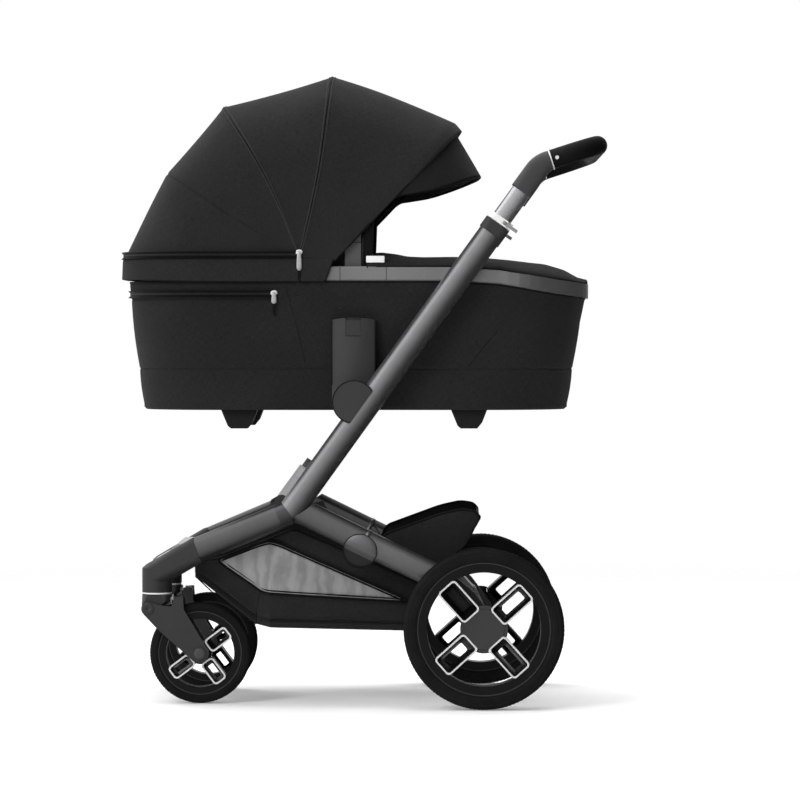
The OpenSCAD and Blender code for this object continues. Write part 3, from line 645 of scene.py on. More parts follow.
def studio_world():
    """White to the camera. Lighting and reflections see it brighter at the left and above."""
    tree = world.node_tree
    background = tree.nodes["Background"]
    where = tree.nodes.new("ShaderNodeTexCoord")
    split = tree.nodes.new("ShaderNodeSeparateXYZ")
    tree.links.new(where.outputs["Generated"], split.inputs[0])

    def graded(axis, low, high, a, b):
        level = tree.nodes.new("ShaderNodeMapRange")
        level.interpolation_type = "SMOOTHSTEP"
        tree.links.new(split.outputs[axis], level.inputs["Value"])
        for key, value in (("From Min", low), ("From Max", high), ("To Min", a), ("To Max", b)):
            level.inputs[key].default_value = value
        return level.outputs["Result"]

    def maths(operation, a, b):
        n = tree.nodes.new("ShaderNodeMath")
        n.operation = operation
        tree.links.new(a, n.inputs[0])
        tree.links.new(b, n.inputs[1])
        return n.outputs[0]

    side = maths("MULTIPLY", graded("X", -0.60, 0.60, 0.98, 0.05), graded("Z", -0.5, 0.6, 0.30, 1.15))
    level = maths("MAXIMUM", side, graded("Y", 0.86, 0.985, 0.0, 0.75))
    path = tree.nodes.new("ShaderNodeLightPath")
    level = maths("MAXIMUM", level, path.outputs["Is Camera Ray"])
    tree.links.new(level, background.inputs["Strength"])
    background.inputs["Color"].default_value = (1, 1, 1, 1)


studio_world()
scene.world = world
scene.view_settings.view_transform = "Standard"


def softbox(name, where, target, size, power):
    data = bpy.data.lights.new(name, "AREA")
    data.shape, data.size, data.size_y, data.energy = "RECTANGLE", size[0], size[1], power
    light = bpy.data.objects.new(name, data)
    light.location = where
    light.rotation_mode = "QUATERNION"
    light.rotation_quaternion = (Vector(target) - Vector(where)).to_track_quat("-Z", "Y")
    light.visible_glossy = False
    scene.collection.objects.link(light)


softbox("key", (-1.9, -3.2, 2.4), (0, 0, 0.6), (1.3, 1.6), 62)
softbox("fill", (2.4, -3.4, 1.2), (0, 0, 0.6), (1.2, 1.8), 10)
softbox("top", (0.1, 0.3, 3.4), (0, 0, 0.5), (2.4, 2.4), 95)
softbox("back_left", (-2.4, 2.6, 1.8), (0, 0, 0.6), (1.2, 2.0), 30)
softbox("back_right", (2.4, 2.6, 1.8), (0, 0, 0.6), (1.2, 2.0), 30)

camera_data = bpy.data.cameras.new("camera")
camera_data.lens = 183
camera_data.sensor_width = 36
camera = bpy.data.objects.new("camera", camera_data)
camera.location = (0.1243, -7.6, 0.6664)
camera.rotation_mode = "QUATERNION"
camera.rotation_quaternion = (Vector((0.0645, 0, 0.554)) - camera.location).to_track_quat("-Z", "Y")
scene.collection.objects.link(camera)
scene.camera = camera

# ---------------------------------------------------------------- carrycot fabric

CORNER = 0.150
BASE = dict(head=-0.408, foot=0.372, half=0.195)
RIM = dict(head=-0.4345, foot=0.406, half=0.203)
board_top = box("cot_base")[1].z
rim_low = box("cot_shell")[1].z
SEAM_Z = 0.6135
BAND_Z = 0.741


def outline(head, foot, half, d=0.0, n=256):
    """The carrycot's outline from above, drawn in by d, from the middle of the foot end round by +Y."""
    r, x0, x1, y = CORNER - d, head + CORNER, foot - CORNER, half - CORNER
    pts = [(x1 + r, 0)]
    for cx, cy, start in ((x1, y, 0), (x0, y, 90), (x0, -y, 180), (x1, -y, 270)):
        for a in np.radians(np.linspace(start, start + 90, 25)):
            pts.append((cx + r * math.cos(a), cy + r * math.sin(a)))
    return resample(pts, n, closed=True)


def outline_at(z, d=0.0, n=256):
    t = (z - board_top) / (rim_low - board_top)
    size = {k: BASE[k] * (1 - t) + RIM[k] * t for k in BASE}
    return outline(d=d, n=n, **size)


def droop(x):
    """How far the rim hangs down towards the foot end."""
    return np.interp(x, [0.157, 0.248, 0.357, 0.44], [0, -0.006, -0.024, -0.034])


def rim_z(x):
    return 0.7736 + droop(x)


def flat_normals(loop):
    t = np.roll(loop, -1, 0) - np.roll(loop, 1, 0)
    t /= np.linalg.norm(t, axis=1)[:, None]
    return np.stack([t[:, 1], -t[:, 0]], 1)


def cot_cover():
    n = 288
    near = [SEAM_Z + d for d in (-0.006, -0.003, -0.0012, 0, 0.0012, 0.003, 0.006)]
    heights = sorted([0.5435, 0.549, 0.556, 0.566, 0.578, 0.59, 0.6, 0.63, 0.645, 0.66, 0.675, 0.69, 0.7,
                      *near])
    rows = []
    for z, d in ((0.5402, 0.014), (0.5400, 0.003)):
        loop = outline_at(0.549, d, n)
        rows.append(np.c_[loop, np.full(n, z)])
    upper = np.unique(np.r_[np.linspace(0.05, 0.97, 16), 0.54, 0.56, 0.58, 0.93, 0.95, 0.99, 1.0])
    for z in heights + [("part", f) for f in upper]:
        if isinstance(z, tuple):
            flat = outline_at(0.7 + z[1] * 0.0736, 0, n)
            level = 0.7 + z[1] * (rim_z(flat[:, 0]) - 0.7)
        else:
            flat = outline_at(max(z, 0.549), 0, n)
            level = np.full(n, z)
        out = 0.0008 + 0.0016 * np.sin(np.pi * np.clip((level - 0.549) / (SEAM_Z - 0.549), 0, 1))
        out += 0.0022 * np.sin(np.pi * np.clip((level - SEAM_Z) / (BAND_Z - SEAM_Z), 0, 1))
        out -= 0.0014 * bump_at(level, SEAM_Z, 0.0016)
        band = 1 / (1 + np.exp((flat[:, 0] + 0.164) / 0.003))
        out -= 0.0012 * band * (bump_at(level, BAND_Z, 0.0016) + bump_at(level, 0.7703, 0.0016))
        out += 0.0009 * wrinkle(np.c_[flat, level * 0.8], 9.0, 3.0)
        rows.append(np.c_[flat + flat_normals(flat) * out[:, None], level])
    cover = grid("cot_cover", np.array(rows), mats["charcoal_fabric"], wrap=True, flip=True)
    thicken(cover, 0.0016)
    place(cover, "carrycot", ["cot_shell"])
    return cover


def vent_seams(cover):
    """Slanting seams on the long sides, laid on the cloth."""
    mesh = cover.data
    cloth = BVHTree.FromPolygons([v.co for v in mesh.vertices], [p.vertices for p in mesh.polygons])
    for sign, side in SIDES:
        for end, line in (("head", [(-0.143, 0.7660), (-0.116, 0.6660), (-0.107, 0.6210)]),
                          ("foot", [(0.244, 0.6840), (0.217, 0.6520), (0.190, 0.6170)])):
            flat = fillet(np.array(line), 0.02, 60)
            path = [cloth.ray_cast(Vector((x, sign * 0.4, z)), Vector((0, -sign, 0)))[0] for x, z in flat]
            cord(f"cot_seam_{end}_{side}", path, 0.0007, "carrycot", "charcoal_fabric", sides=6)


vent_seams(cot_cover())


mats["thread"] = woven("thread", (0.035, 0.035, 0.037), 0.0006, 0.2, 0.7)

# One stitch's corners: along, across and above the cloth, in halves of its length and in its thickness
STITCH = ((-1, 0, 0), (-0.6, 1, 0), (0.6, 1, 0), (1, 0, 0), (0.6, -1, 0), (-0.6, -1, 0), (-0.4, 0, 1),
          (0.4, 0, 1))
STITCH_FACES = ((0, 6, 1), (1, 6, 7, 2), (2, 7, 3), (3, 7, 4), (4, 7, 6, 5), (5, 6, 0))


def stitches(name, path, up, body):
    """A row of sewn stitches along a path that lies on the cloth, up being the cloth's outward direction."""
    pitch, long, thick = 0.0042, 0.0027, 0.0005
    path = np.asarray(path, float)
    count = max(int(np.linalg.norm(np.diff(path, axis=0), axis=1).sum() / pitch), 2)
    mid = resample(path, count)
    if np.ndim(up) > 1:
        ups = resample(np.asarray(up, float) + path, count) - mid
    else:
        ups = np.tile(np.asarray(up, float), (count, 1))
    tangent = np.gradient(mid, axis=0)
    tangent /= np.linalg.norm(tangent, axis=1)[:, None]
    verts, faces = [], []
    for c, t, u in zip(mid, tangent, ups):
        u = u / np.linalg.norm(u)
        s = np.cross(t, u)
        k = len(verts)
        for a, b, h in STITCH:
            verts.append(c + t * a * long / 2 + s * b * thick + u * h * thick)
        for f in STITCH_FACES:
            faces.append(tuple(k + j for j in f))
    return place(new_object(name, verts, faces, mats["thread"]), body)


def cot_lining():
    """Lining inside the cover, puffed between its upright seams."""
    n, channels = 288, 36
    foot, head = 0.5815, 0.768
    puff = np.abs(np.sin(np.pi * channels * (np.arange(n) / n))) ** 0.6
    rows = []
    for z, d, k in ((foot, 0.0125, 0), (0.59, 0.0118, 0.6), (0.61, 0.0115, 1), (0.65, 0.0112, 1),
                    (0.69, 0.0112, 1), (0.72, 0.0112, 1), (0.745, 0.0112, 0.6), (0.758, 0.0110, 0.1),
                    (head, 0.0106, 0.0)):
        flat = outline_at(z, d, n)
        level = foot + (z - foot) * (rim_z(flat[:, 0]) - foot + 0.002) / (head - foot)
        rows.append(np.c_[flat - flat_normals(flat) * (0.0035 * k * puff)[:, None], level])
    lining = grid("cot_lining", np.array(rows), mats["lining_fabric"], wrap=True)
    thicken(lining, 0.0012)
    place(lining, "carrycot")


cot_lining()


def swell(obj, pressure, cap, voxel):
    """Fills a closed shape like a cushion by a short cloth simulation, no point moving more than cap."""
    remesh = obj.modifiers.new("remesh", "REMESH")
    remesh.mode, remesh.voxel_size = "VOXEL", voxel
    finalise(obj)
    before = np.array([v.co for v in obj.data.vertices], float)
    cloth = obj.modifiers.new("cloth", "CLOTH")
    cloth.settings.use_pressure = True
    cloth.settings.uniform_pressure_force = pressure
    cloth.settings.effector_weights.gravity = 0
    cloth.settings.quality = 4
    cloth.collision_settings.use_collision = False
    cloth.point_cache.frame_start, cloth.point_cache.frame_end = 1, 20
    for step in range(1, 21):
        scene.frame_set(step)
    finalise(obj)
    scene.frame_set(1)
    after = np.array([v.co for v in obj.data.vertices], float)
    move = after - before
    far = np.linalg.norm(move, axis=1)
    move *= np.minimum(1, cap / np.maximum(far, 1e-9))[:, None]
    obj.data.vertices.foreach_set("co", (before + move).ravel())
    obj.data.polygons.foreach_set("use_smooth", [True] * len(obj.data.polygons))
    subdivide(obj)
    return finalise(obj)


def mattress():
    low, high = box("mattress")
    n = 200
    loop = outline(BASE["head"], BASE["foot"], BASE["half"], 0.020, n)
    centre = loop.mean(0)
    bottom, top = low.z + 0.002, high.z - 0.007
    rows = []
    for share, z in ((0.01, bottom), (0.5, bottom), (0.9, bottom), (0.985, bottom + 0.002),
                     (1.0, (bottom + top) / 2), (0.985, top - 0.002), (0.9, top), (0.5, top), (0.01, top)):
        rows.append(np.c_[centre + (loop - centre) * share, np.full(n, z)])
    pad = grid("mattress_pad", np.array(rows), mats["mattress_fabric"], wrap=True)
    swell(pad, 4.0, 0.006, 0.0055)
    place(pad, "carrycot", ["mattress"])
    edge = outline(BASE["head"], BASE["foot"], BASE["half"], 0.0185, 240)
    edge = np.c_[edge, np.full(240, high.z - 0.008)]
    piping = tube("mattress_piping", edge, 0.0022, mats["lining_fabric"], closed=True)
    place(piping, "carrycot")


mattress()


def arch(half, height, r, n, foot=0.0, rise=0.0):
    """A line up one side, round a corner of radius r and across, with its middle raised by rise."""
    arc = np.radians(np.linspace(0, 90, 31))
    left = [(-half, foot)] + [(-half + r - r * math.cos(a), height - r + r * math.sin(a)) for a in arc]
    left.append((0.0, height + rise))
    return resample(np.array(left + [(-y, z) for y, z in left[-2::-1]]), n)


def half_width(x, grow=0.0):
    """Half the carrycot's width at the rim, by distance along it."""
    x = np.asarray(x, float)
    into = np.clip(np.maximum(x - (RIM["foot"] - CORNER), (RIM["head"] + CORNER) - x), 0, CORNER)
    return RIM["half"] - CORNER + np.sqrt(np.maximum(CORNER**2 - into**2, 0)) + grow


def apron():
    """Cloth cover over the foot half, with a rolled front edge and turned-down sides."""
    top_x = [0.008, 0.012, 0.020, 0.032, 0.050, 0.075, 0.11, 0.17, 0.225, 0.26, 0.332, 0.368, 0.393, 0.42]
    top_z = [0.8145, 0.821, 0.8255, 0.8265, 0.8245, 0.8200, 0.8182, 0.8178, 0.8150, 0.8122, 0.8035, 0.7930,
             0.7790, 0.7725]
    n = 97
    xs = np.r_[np.linspace(0.008, 0.05, 12), np.linspace(0.058, 0.385, 58), np.linspace(0.389, 0.4105, 10)]
    crown = np.interp(xs, top_x, top_z)
    q = np.sin(np.linspace(-np.pi / 2, np.pi / 2, n))
    rows = []
    for x, zc in zip(xs, crown):
        w = float(half_width(min(x, 0.4055), 0.0006))
        edge = float(0.8012 + droop(x)) - 0.0006
        y = q * w
        rise = (1 - np.abs(q) ** 3.2) ** 0.62
        z = edge + (zc - edge) * rise
        soft = wrinkle(np.c_[np.full(n, x), y, np.zeros(n)], 7.5, 11.0)
        soft += 0.5 * wrinkle(np.c_[np.full(n, x), y, z], 19.0, 4.0)
        z = z + 0.0022 * soft * rise * (1 - bump_at(x, 0.02, 0.02))
        rows.append(np.c_[np.full(n, x), y, z])
    top = np.array(rows)
    lip = [top[0] + [dx, 0, dz] for dx, dz in ((0.0035, -0.0075), (0.0008, -0.0065), (-0.0012, -0.0035))]
    sheet = grid("apron_cover", np.concatenate([lip, top]), mats["charcoal_fabric"])
    subdivide(sheet)
    thicken(sheet, 0.0024, -1)
    place(sheet, "carrycot", ["apron"])
    edge = np.concatenate([top[4:, 0], top[-1, 1:-1], top[4:, -1][::-1]])
    cord("apron_binding", fillet(edge, 0.004, 360) + [0, 0, 0.0004], 0.0021, "carrycot", "charcoal_fabric",
         up=(0, 0, 1))
    line = np.concatenate([top[4:-4, 6], top[-4, 8:89], top[4:-4, -7][::-1]])
    line = fillet(line, 0.01, 500) + [0, 0, 0.0002]
    stitches("apron_stitching", line, (0, 0, 1), "carrycot")


apron()


# ---------------------------------------------------------------- canopy

# In the side view: the pin that the bows turn on, and the point that the cloth's panels fan out from
PIN = np.array(cad_point("canopy_fold"))[[0, 2]]
POLE = np.array([-0.117, 0.8195])
canopy_half = box("canopy_rear")[1].y
# Fan positions, from the front hem to the level seam, and the cloth's top at each. The first three
# are the turned hem, and have feet of their own. The seams bow forwards and the panels bulge outwards
FAN = (0.0, 0.18, 0.36, 1.36, 2.36, 3.36, 4.36)
TOPS = np.array([(0.167, 1.0405), (0.1755, 1.0520), (0.1640, 1.0650), (-0.0612, 1.1508), (-0.2606, 1.0950),
                 (-0.3645, 0.9726), (-0.4415, 0.8205)])
FEET = np.array([(-0.0530, 0.8105), (-0.0520, 0.8105), (-0.0545, 0.8115)])
SEAM_BOW = (0.0, 0.0085, 0.0115, -0.004, 0.0)
BULGE = (0.0, 0.0, 0.0045, -0.0030, -0.0015, 0.0010)


def fan_line(t):
    """The cloth's foot and top in the side view at fan position t, with its panel and how far into it."""
    t = min(max(t, FAN[0]), FAN[-1])
    k = min(int(np.searchsorted(FAN, t, side="right")) - 1, len(FAN) - 2)
    f = (t - FAN[k]) / (FAN[k + 1] - FAN[k])
    top = TOPS[k] * (1 - f) + TOPS[k + 1] * f
    away = top - POLE
    away /= np.linalg.norm(away)
    normal = np.array([-(TOPS[k + 1] - TOPS[k])[1], (TOPS[k + 1] - TOPS[k])[0]])
    normal /= np.linalg.norm(normal)
    if normal @ away < 0:
        normal = -normal
    top = top + normal * BULGE[k] * 4 * f * (1 - f)
    pole = POLE + 0.006 * away
    if k < 2:
        foot = FEET[k] * (1 - f) + FEET[k + 1] * f
    elif k == 2:
        foot = FEET[2] * (1 - f) + np.array([POLE[0], 0.8128]) * f
    else:
        foot = pole
    return foot, top, k, f


def fan_curve(t, out=0.0, n=129):
    """The cloth's line from left to right at fan position t, moved outwards by out."""
    foot, top, k, f = fan_line(t)
    along = top - foot
    long = np.linalg.norm(along)
    along /= long
    ahead = np.array([along[1], -along[0]]) * np.interp(t, FAN[2:], SEAM_BOW)
    r = 0.130 + 0.018 * max(0.0, min(1.0, t - FAN[5]))
    half = canopy_half
    p = arch(half, long, r, n, rise=0.0022)
    q = np.clip(np.abs(p[:, 0]) / (half - r), 0, 1)
    p[:, 1] += 0.0035 * (1 - q**2) - 0.0015
    sag = 4 * f * (1 - f) if k >= 2 else 0.0
    side = np.clip((half - np.abs(p[:, 0])) / 0.02, 0, 1)
    p[:, 0] -= np.sign(p[:, 0]) * (1 - side) * 0.0026 * sag * np.clip(p[:, 1] / 0.12, 0, 1)
    d = np.c_[np.sign(p[:, 0]) * np.maximum(np.abs(p[:, 0]) - (half - r), 0),
              np.maximum(p[:, 1] - (long - r), 0)]
    d /= np.maximum(np.linalg.norm(d, axis=1), 1e-9)[:, None]
    p = p + d * out
    bowed = np.sin(np.pi * np.clip(p[:, 1] / long, 0, 1))
    return np.c_[foot[0] + along[0] * p[:, 1] + ahead[0] * bowed, p[:, 0],
                 foot[1] + along[1] * p[:, 1] + ahead[1] * bowed]


def follow_canopy(obj):
    """Bakes the piece's placement into its mesh; it rides on no body."""
    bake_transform(obj)


def canopy():
    seams = FAN[3:6]
    ts = [FAN[-1]]
    for a, b, m in zip(FAN, FAN[1:], (4, 4, 30, 26, 22, 22)):
        ts += list(np.linspace(a, b, m, endpoint=False))
    for s in seams:
        ts += [s - 0.028, s - 0.012, s + 0.012, s + 0.028]
    ts = np.unique(ts)
    rows = []
    for t in ts:
        dip = sum(bump_at(t, s, 0.012) for s in seams)
        row = fan_curve(t, out=-0.0022 * dip)
        rows.append(row + 0.0009 * np.stack([wrinkle(row, 8.0, k) for k in (1.0, 5.0, 9.0)], 1))
    cloth = grid("canopy_cloth", np.array(rows), mats["canopy_fabric"], flip=True)
    thicken(cloth, 0.0018, -1)
    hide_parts("canopy_rear", "canopy_front")
    follow_canopy(cloth)
    pipes = (("a", -0.019, 0.0019, "piping", 0.0010), ("b", 0.019, 0.0019, "piping", 0.0010),
             ("groove", 0.0, 0.0019, "binding", 0.0008), ("edge_a", -0.034, 0.0012, "binding", 0.0001),
             ("edge_b", 0.034, 0.0012, "binding", 0.0001))
    for name, s in (("middle", seams[0]), ("rear", seams[1])):
        for part, shift, r, material, out in pipes:
            path = fan_curve(s + shift, out=out, n=161)[1:-1]
            pipe = tube(f"canopy_piping_{name}_{part}", path, r, mats[material], up=(0.3, 0, 1))
            follow_canopy(pipe)
    hem = tube("canopy_hem", fan_curve(0.0, out=0.0, n=161), 0.0019, mats["binding"], up=(0.7, 0, -0.7))
    follow_canopy(hem)
    for name, s in (("hem", 0.42), ("middle_a", seams[0] - 0.03), ("middle_b", seams[0] + 0.03),
                    ("rear_a", seams[1] - 0.03), ("rear_b", seams[1] + 0.03), ("head_a", seams[2] - 0.018),
                    ("head_b", seams[2] + 0.018)):
        path = fan_curve(s, out=0.0003, n=161)
        up = fan_curve(s, out=0.0103, n=161) - path
        low = np.linalg.norm(up, axis=1) < 0.005
        up[low] = np.c_[np.zeros(low.sum()), np.sign(path[low, 1]), np.zeros(low.sum())]
        row = stitches("canopy_stitching_" + name, path[6:-6] + 0.0002 * up[6:-6] / 0.01, up[6:-6], None)
        follow_canopy(row)


canopy()


def middle_bow():
    """The bow under the middle seam, in its cloth sleeve, a little inside the cloth."""
    inset = 0.0105
    along = TOPS[3] - PIN
    long = np.linalg.norm(along)
    along /= long
    flat = arch(canopy_half - inset, long - inset, 0.120, 161)
    path = np.c_[PIN[0] + along[0] * flat[:, 1], flat[:, 0], PIN[1] + along[1] * flat[:, 1]]
    bow = tube("middle_bow_sleeve", path, 0.0042, mats["lining_fabric"], sides=12, up=(1, 0, 0.2))
    place(bow, "canopy_middle", ["middle_bow"])


middle_bow()


def visor():
    """Stiff brim from the front bow, deep in the middle and running out at the sides."""
    n = 121
    hem = fan_curve(0.06, out=-0.0045, n=481)
    radius = np.hypot(hem[:, 0] - PIN[0], hem[:, 2] - PIN[1])
    inner = resample(hem[radius > 0.142], n)
    lean = math.radians(28.5)
    flat = arch(canopy_half - 0.004, 0.297, 0.130, n, foot=0.10, rise=0.003)
    outer = np.c_[PIN[0] + flat[:, 1] * math.cos(lean), flat[:, 0], PIN[1] + flat[:, 1] * math.sin(lean)]
    cut_x = [0.0516, 0.066, 0.1207, 0.157, 0.212]
    cut_z = [0.9300, 0.9290, 0.9380, 0.9490, 0.9680]
    share = np.linspace(0, 1, 201)
    ends = np.zeros(n)
    for j in range(n):
        p = inner[j] + share[:, None] * (outer[j] - inner[j])
        ok = p[:, 2] >= np.interp(p[:, 0], cut_x, cut_z)
        ends[j] = share[np.nonzero(ok)[0][-1]] if ok.any() else 0.0
    ends = np.maximum(np.convolve(np.pad(ends, 3, "edge"), np.ones(7) / 7, "valid"), 0.02)
    rows, under = [], []
    for f in np.linspace(0, 1, 22):
        p = inner + (f * ends)[:, None] * (outer - inner)
        bow = 0.0004 * np.sin(np.pi * f) * ends
        away = np.c_[p[:, 0] - PIN[0], 0.6 * p[:, 1], p[:, 2] - PIN[1]]
        away /= np.linalg.norm(away, axis=1)[:, None]
        soft = np.stack([wrinkle(p, 9.0, k) for k in (2.0, 6.0, 8.0)], 1)
        rows.append(p + away * bow[:, None] + 0.0007 * soft)
        under.append(rows[-1] - 0.0037 * away)
    lining = grid("visor_lining", np.array(under[1:-1]), mats["lining_fabric"])
    thicken(lining, 0.0008, -1)
    place(lining, "canopy")
    rows = np.array(rows)
    brim = grid("canopy_visor", rows, mats["visor_fabric"])
    thicken(brim, 0.0030, -1)
    place(brim, "canopy", ["visor"])
    cord("visor_binding", resample(rows[-1], 200), 0.0022, "canopy", "canopy_fabric", up=(0.5, 0, 0.85))
    line = (rows[-1] + rows[-3]) / 2
    stitches("visor_stitching", line[8:-8] + [0.0006, 0, 0.0008], (0.6, 0, 0.8), "canopy")


visor()


def u_path(x_front, grow=0.0, n=201):
    """Round the canopy's head end from the left side to the right, from above."""
    half = canopy_half + grow
    r, x0 = CORNER + grow, -0.4455 + CORNER
    y = half - r
    left = [(x_front, -half)]
    for a in np.radians(np.linspace(270, 180, 31)):
        left.append((x0 + r * math.cos(a), -y + r * math.sin(a)))
    return resample(np.array(left + [(x, -z) for x, z in left[::-1]]), n)


def level_normals(path):
    """Level outward directions along a path that u_path laid out."""
    t = np.gradient(path, axis=0)
    normal = np.c_[-t[:, 1], t[:, 0], np.zeros(len(t))]
    normal /= np.linalg.norm(normal, axis=1)[:, None]
    return -normal if normal[5, 1] > 0 else normal


def skirt():
    """Band that hangs from the canopy's lower zip over the rim."""
    rows = []
    top, bottom = 0.8150, 0.7728
    for f in (-0.02, 0.0, 0.05, 0.12, 0.22, 0.35, 0.5, 0.65, 0.8, 0.92, 0.97, 1.0):
        up = max(f, 0)
        flat = u_path(-0.070 + 0.0155 * up)
        grow = 0.0018 + 0.0016 * (1 - up) - 0.0014 * bump_at(f, 0.97, 0.03) - (0.0016 if f < 0 else 0)
        back = np.clip((-0.25 - flat[:, 0]) / 0.19, 0, 1)
        level = bottom + (top - bottom) * up + 0.006 * back**2 * (1 - up)
        soft = 0.0010 * wrinkle(np.c_[flat, level], 10.0, 7.0) * (1 - f)
        rows.append(np.c_[flat + level_normals(flat)[:, :2] * (grow + soft)[:, None], level])
    rows = np.array(rows)
    band = grid("canopy_skirt", rows, mats["canopy_fabric"])
    subdivide(band)
    thicken(band, 0.0016, -1)
    place(band, "carrycot")
    cord("skirt_hem", rows[1], 0.0016, "carrycot", "canopy_fabric", up=(0, 0, 1))
    for side, end in (("left", 0), ("right", -1)):
        cord("skirt_edge_" + side, rows[1:, end], 0.0014, "carrycot", "canopy_fabric")
    for name, row in (("low", rows[3]), ("high", rows[8])):
        normal = level_normals(row)
        stitches("skirt_stitching_" + name, row + normal * 0.0003, normal, "carrycot")


skirt()


def zip_line(name, path, body):
    """Tape and closed teeth along a level path."""
    tape = sweep(name + "_tape", path, strip_section(0.0016, 0.0125), mats["binding"], (0, 0, 1))
    place(tape, body)
    teeth = sweep(name + "_teeth", path + level_normals(path) * 0.0009, ring_section(0.0011, 8, 1.9),
                  mats["zip"], (0, 0, 1))
    place(teeth, body)


canopy_zip = u_path(-0.117, 0.0006, 301)
zip_line("canopy_zip", np.c_[canopy_zip, np.full(301, 0.8212)], "carrycot")


def cot_zip():
    level = 0.7500
    loop = outline_at(level, -0.0022, 1200)
    part = loop[loop[:, 0] < -0.1665]
    part = part[np.argsort(np.arctan2(part[:, 1], -(part[:, 0] + 0.2)))]
    path = resample(part, 301)
    zip_line("cot_zip", np.c_[path, np.full(301, level)], "carrycot")


cot_zip()


def pull(name, x, z, side, half, long):
    """Zip slider with its metal tab and a cloth tag below, on a side that stands half from the middle."""

    def slab_piece(part, outline_xz, inner, outer, material):
        y0, y1 = side * (half + inner), side * (half + outer)
        deep = y1 - y0
        pts = smooth_path(np.array(outline_xz + outline_xz[:1]), 28, 2)[:-1]
        c = pts.mean(0)
        rows = []
        for y, k in ((y0, 0.55), (y0, 0.97), (y0 + deep * 0.15, 1.0), (y1 - deep * 0.2, 1.0), (y1, 0.9),
                     (y1, 0.5), (y1, 0.05)):
            q = c + (pts - c) * k
            rows.append(np.c_[q[:, 0], np.full(len(q), y), q[:, 1]])
        obj = grid(f"{name}_{part}", np.array(rows), mats[material], wrap=True, flip=side < 0)
        return place(obj, "carrycot")

    w = 0.0046
    slider = [(x - 0.006, z - 0.004), (x + 0.006, z - 0.005), (x + 0.006, z + 0.005), (x - 0.006, z + 0.004)]
    tab = [(x - w * 0.7, z + 0.001), (x - w, z - long * 0.55), (x - w, z - long), (x + w, z - long),
           (x + w, z - long * 0.55), (x + w * 0.7, z + 0.001)]
    top, foot, u = z - long + 0.004, z - long - 0.022, w * 0.55
    tag = [(x - u, top), (x - u, foot), (x + u, foot), (x + u, top)]
    first = slab_piece("slider", slider, 0.0018, 0.0058, "chrome_trim")
    slab_piece("tab", tab, 0.0052, 0.0074, "silver_cover")
    slab_piece("tag", tag, 0.0048, 0.0062, "binding")
    return first


first_pull = None
for sign, side in SIDES:
    slider = pull("canopy_pull_" + side, POLE[0], 0.826, sign, canopy_half, 0.034)
    pull("cot_pull_" + side, -0.163, 0.752, sign, RIM["half"], 0.020)
    first_pull = first_pull or slider
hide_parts("zip_pulls")

# ---------------------------------------------------------------- basket

# The basket in the side view: its upper and lower edges, and half its width along each
BASKET_TOP = np.array([(-0.312, 0.256), (-0.250, 0.270), (-0.127, 0.322), (0.118, 0.214)])
BASKET_LOW = np.array([(-0.312, 0.230), (-0.200, 0.1425), (-0.172, 0.139), (0.078, 0.134), (0.118, 0.178)])
TOP_HALF = np.array([0.116, 0.168, 0.206, 0.176])
LOW_HALF = np.array([(-0.312, 0.112), (-0.200, 0.112), (-0.172, 0.158), (0.078, 0.166), (0.118, 0.176)])
WINDOW = np.array([(-0.267, 0.2630), (-0.195, 0.2915), (-0.172, 0.2985), (-0.150, 0.2925), (0.080, 0.1900),
                   (-0.176, 0.2055), (-0.189, 0.2085)])


def basket_side(x, z):
    """Half width of the basket's side at a point of the side view."""
    top, low = np.interp(x, *BASKET_TOP.T), np.interp(x, *BASKET_LOW.T)
    wide, narrow = np.interp(x, BASKET_TOP[:, 0], TOP_HALF), np.interp(x, *LOW_HALF.T)
    f = np.clip((z - low) / np.maximum(top - low, 1e-4), 0, 1)
    belly = 0.0065 * np.sin(np.pi * f) * np.clip((x + 0.30) / 0.08, 0, 1) * np.clip((0.12 - x) / 0.06, 0, 1)
    return narrow + (wide - narrow) * f**0.8 + belly


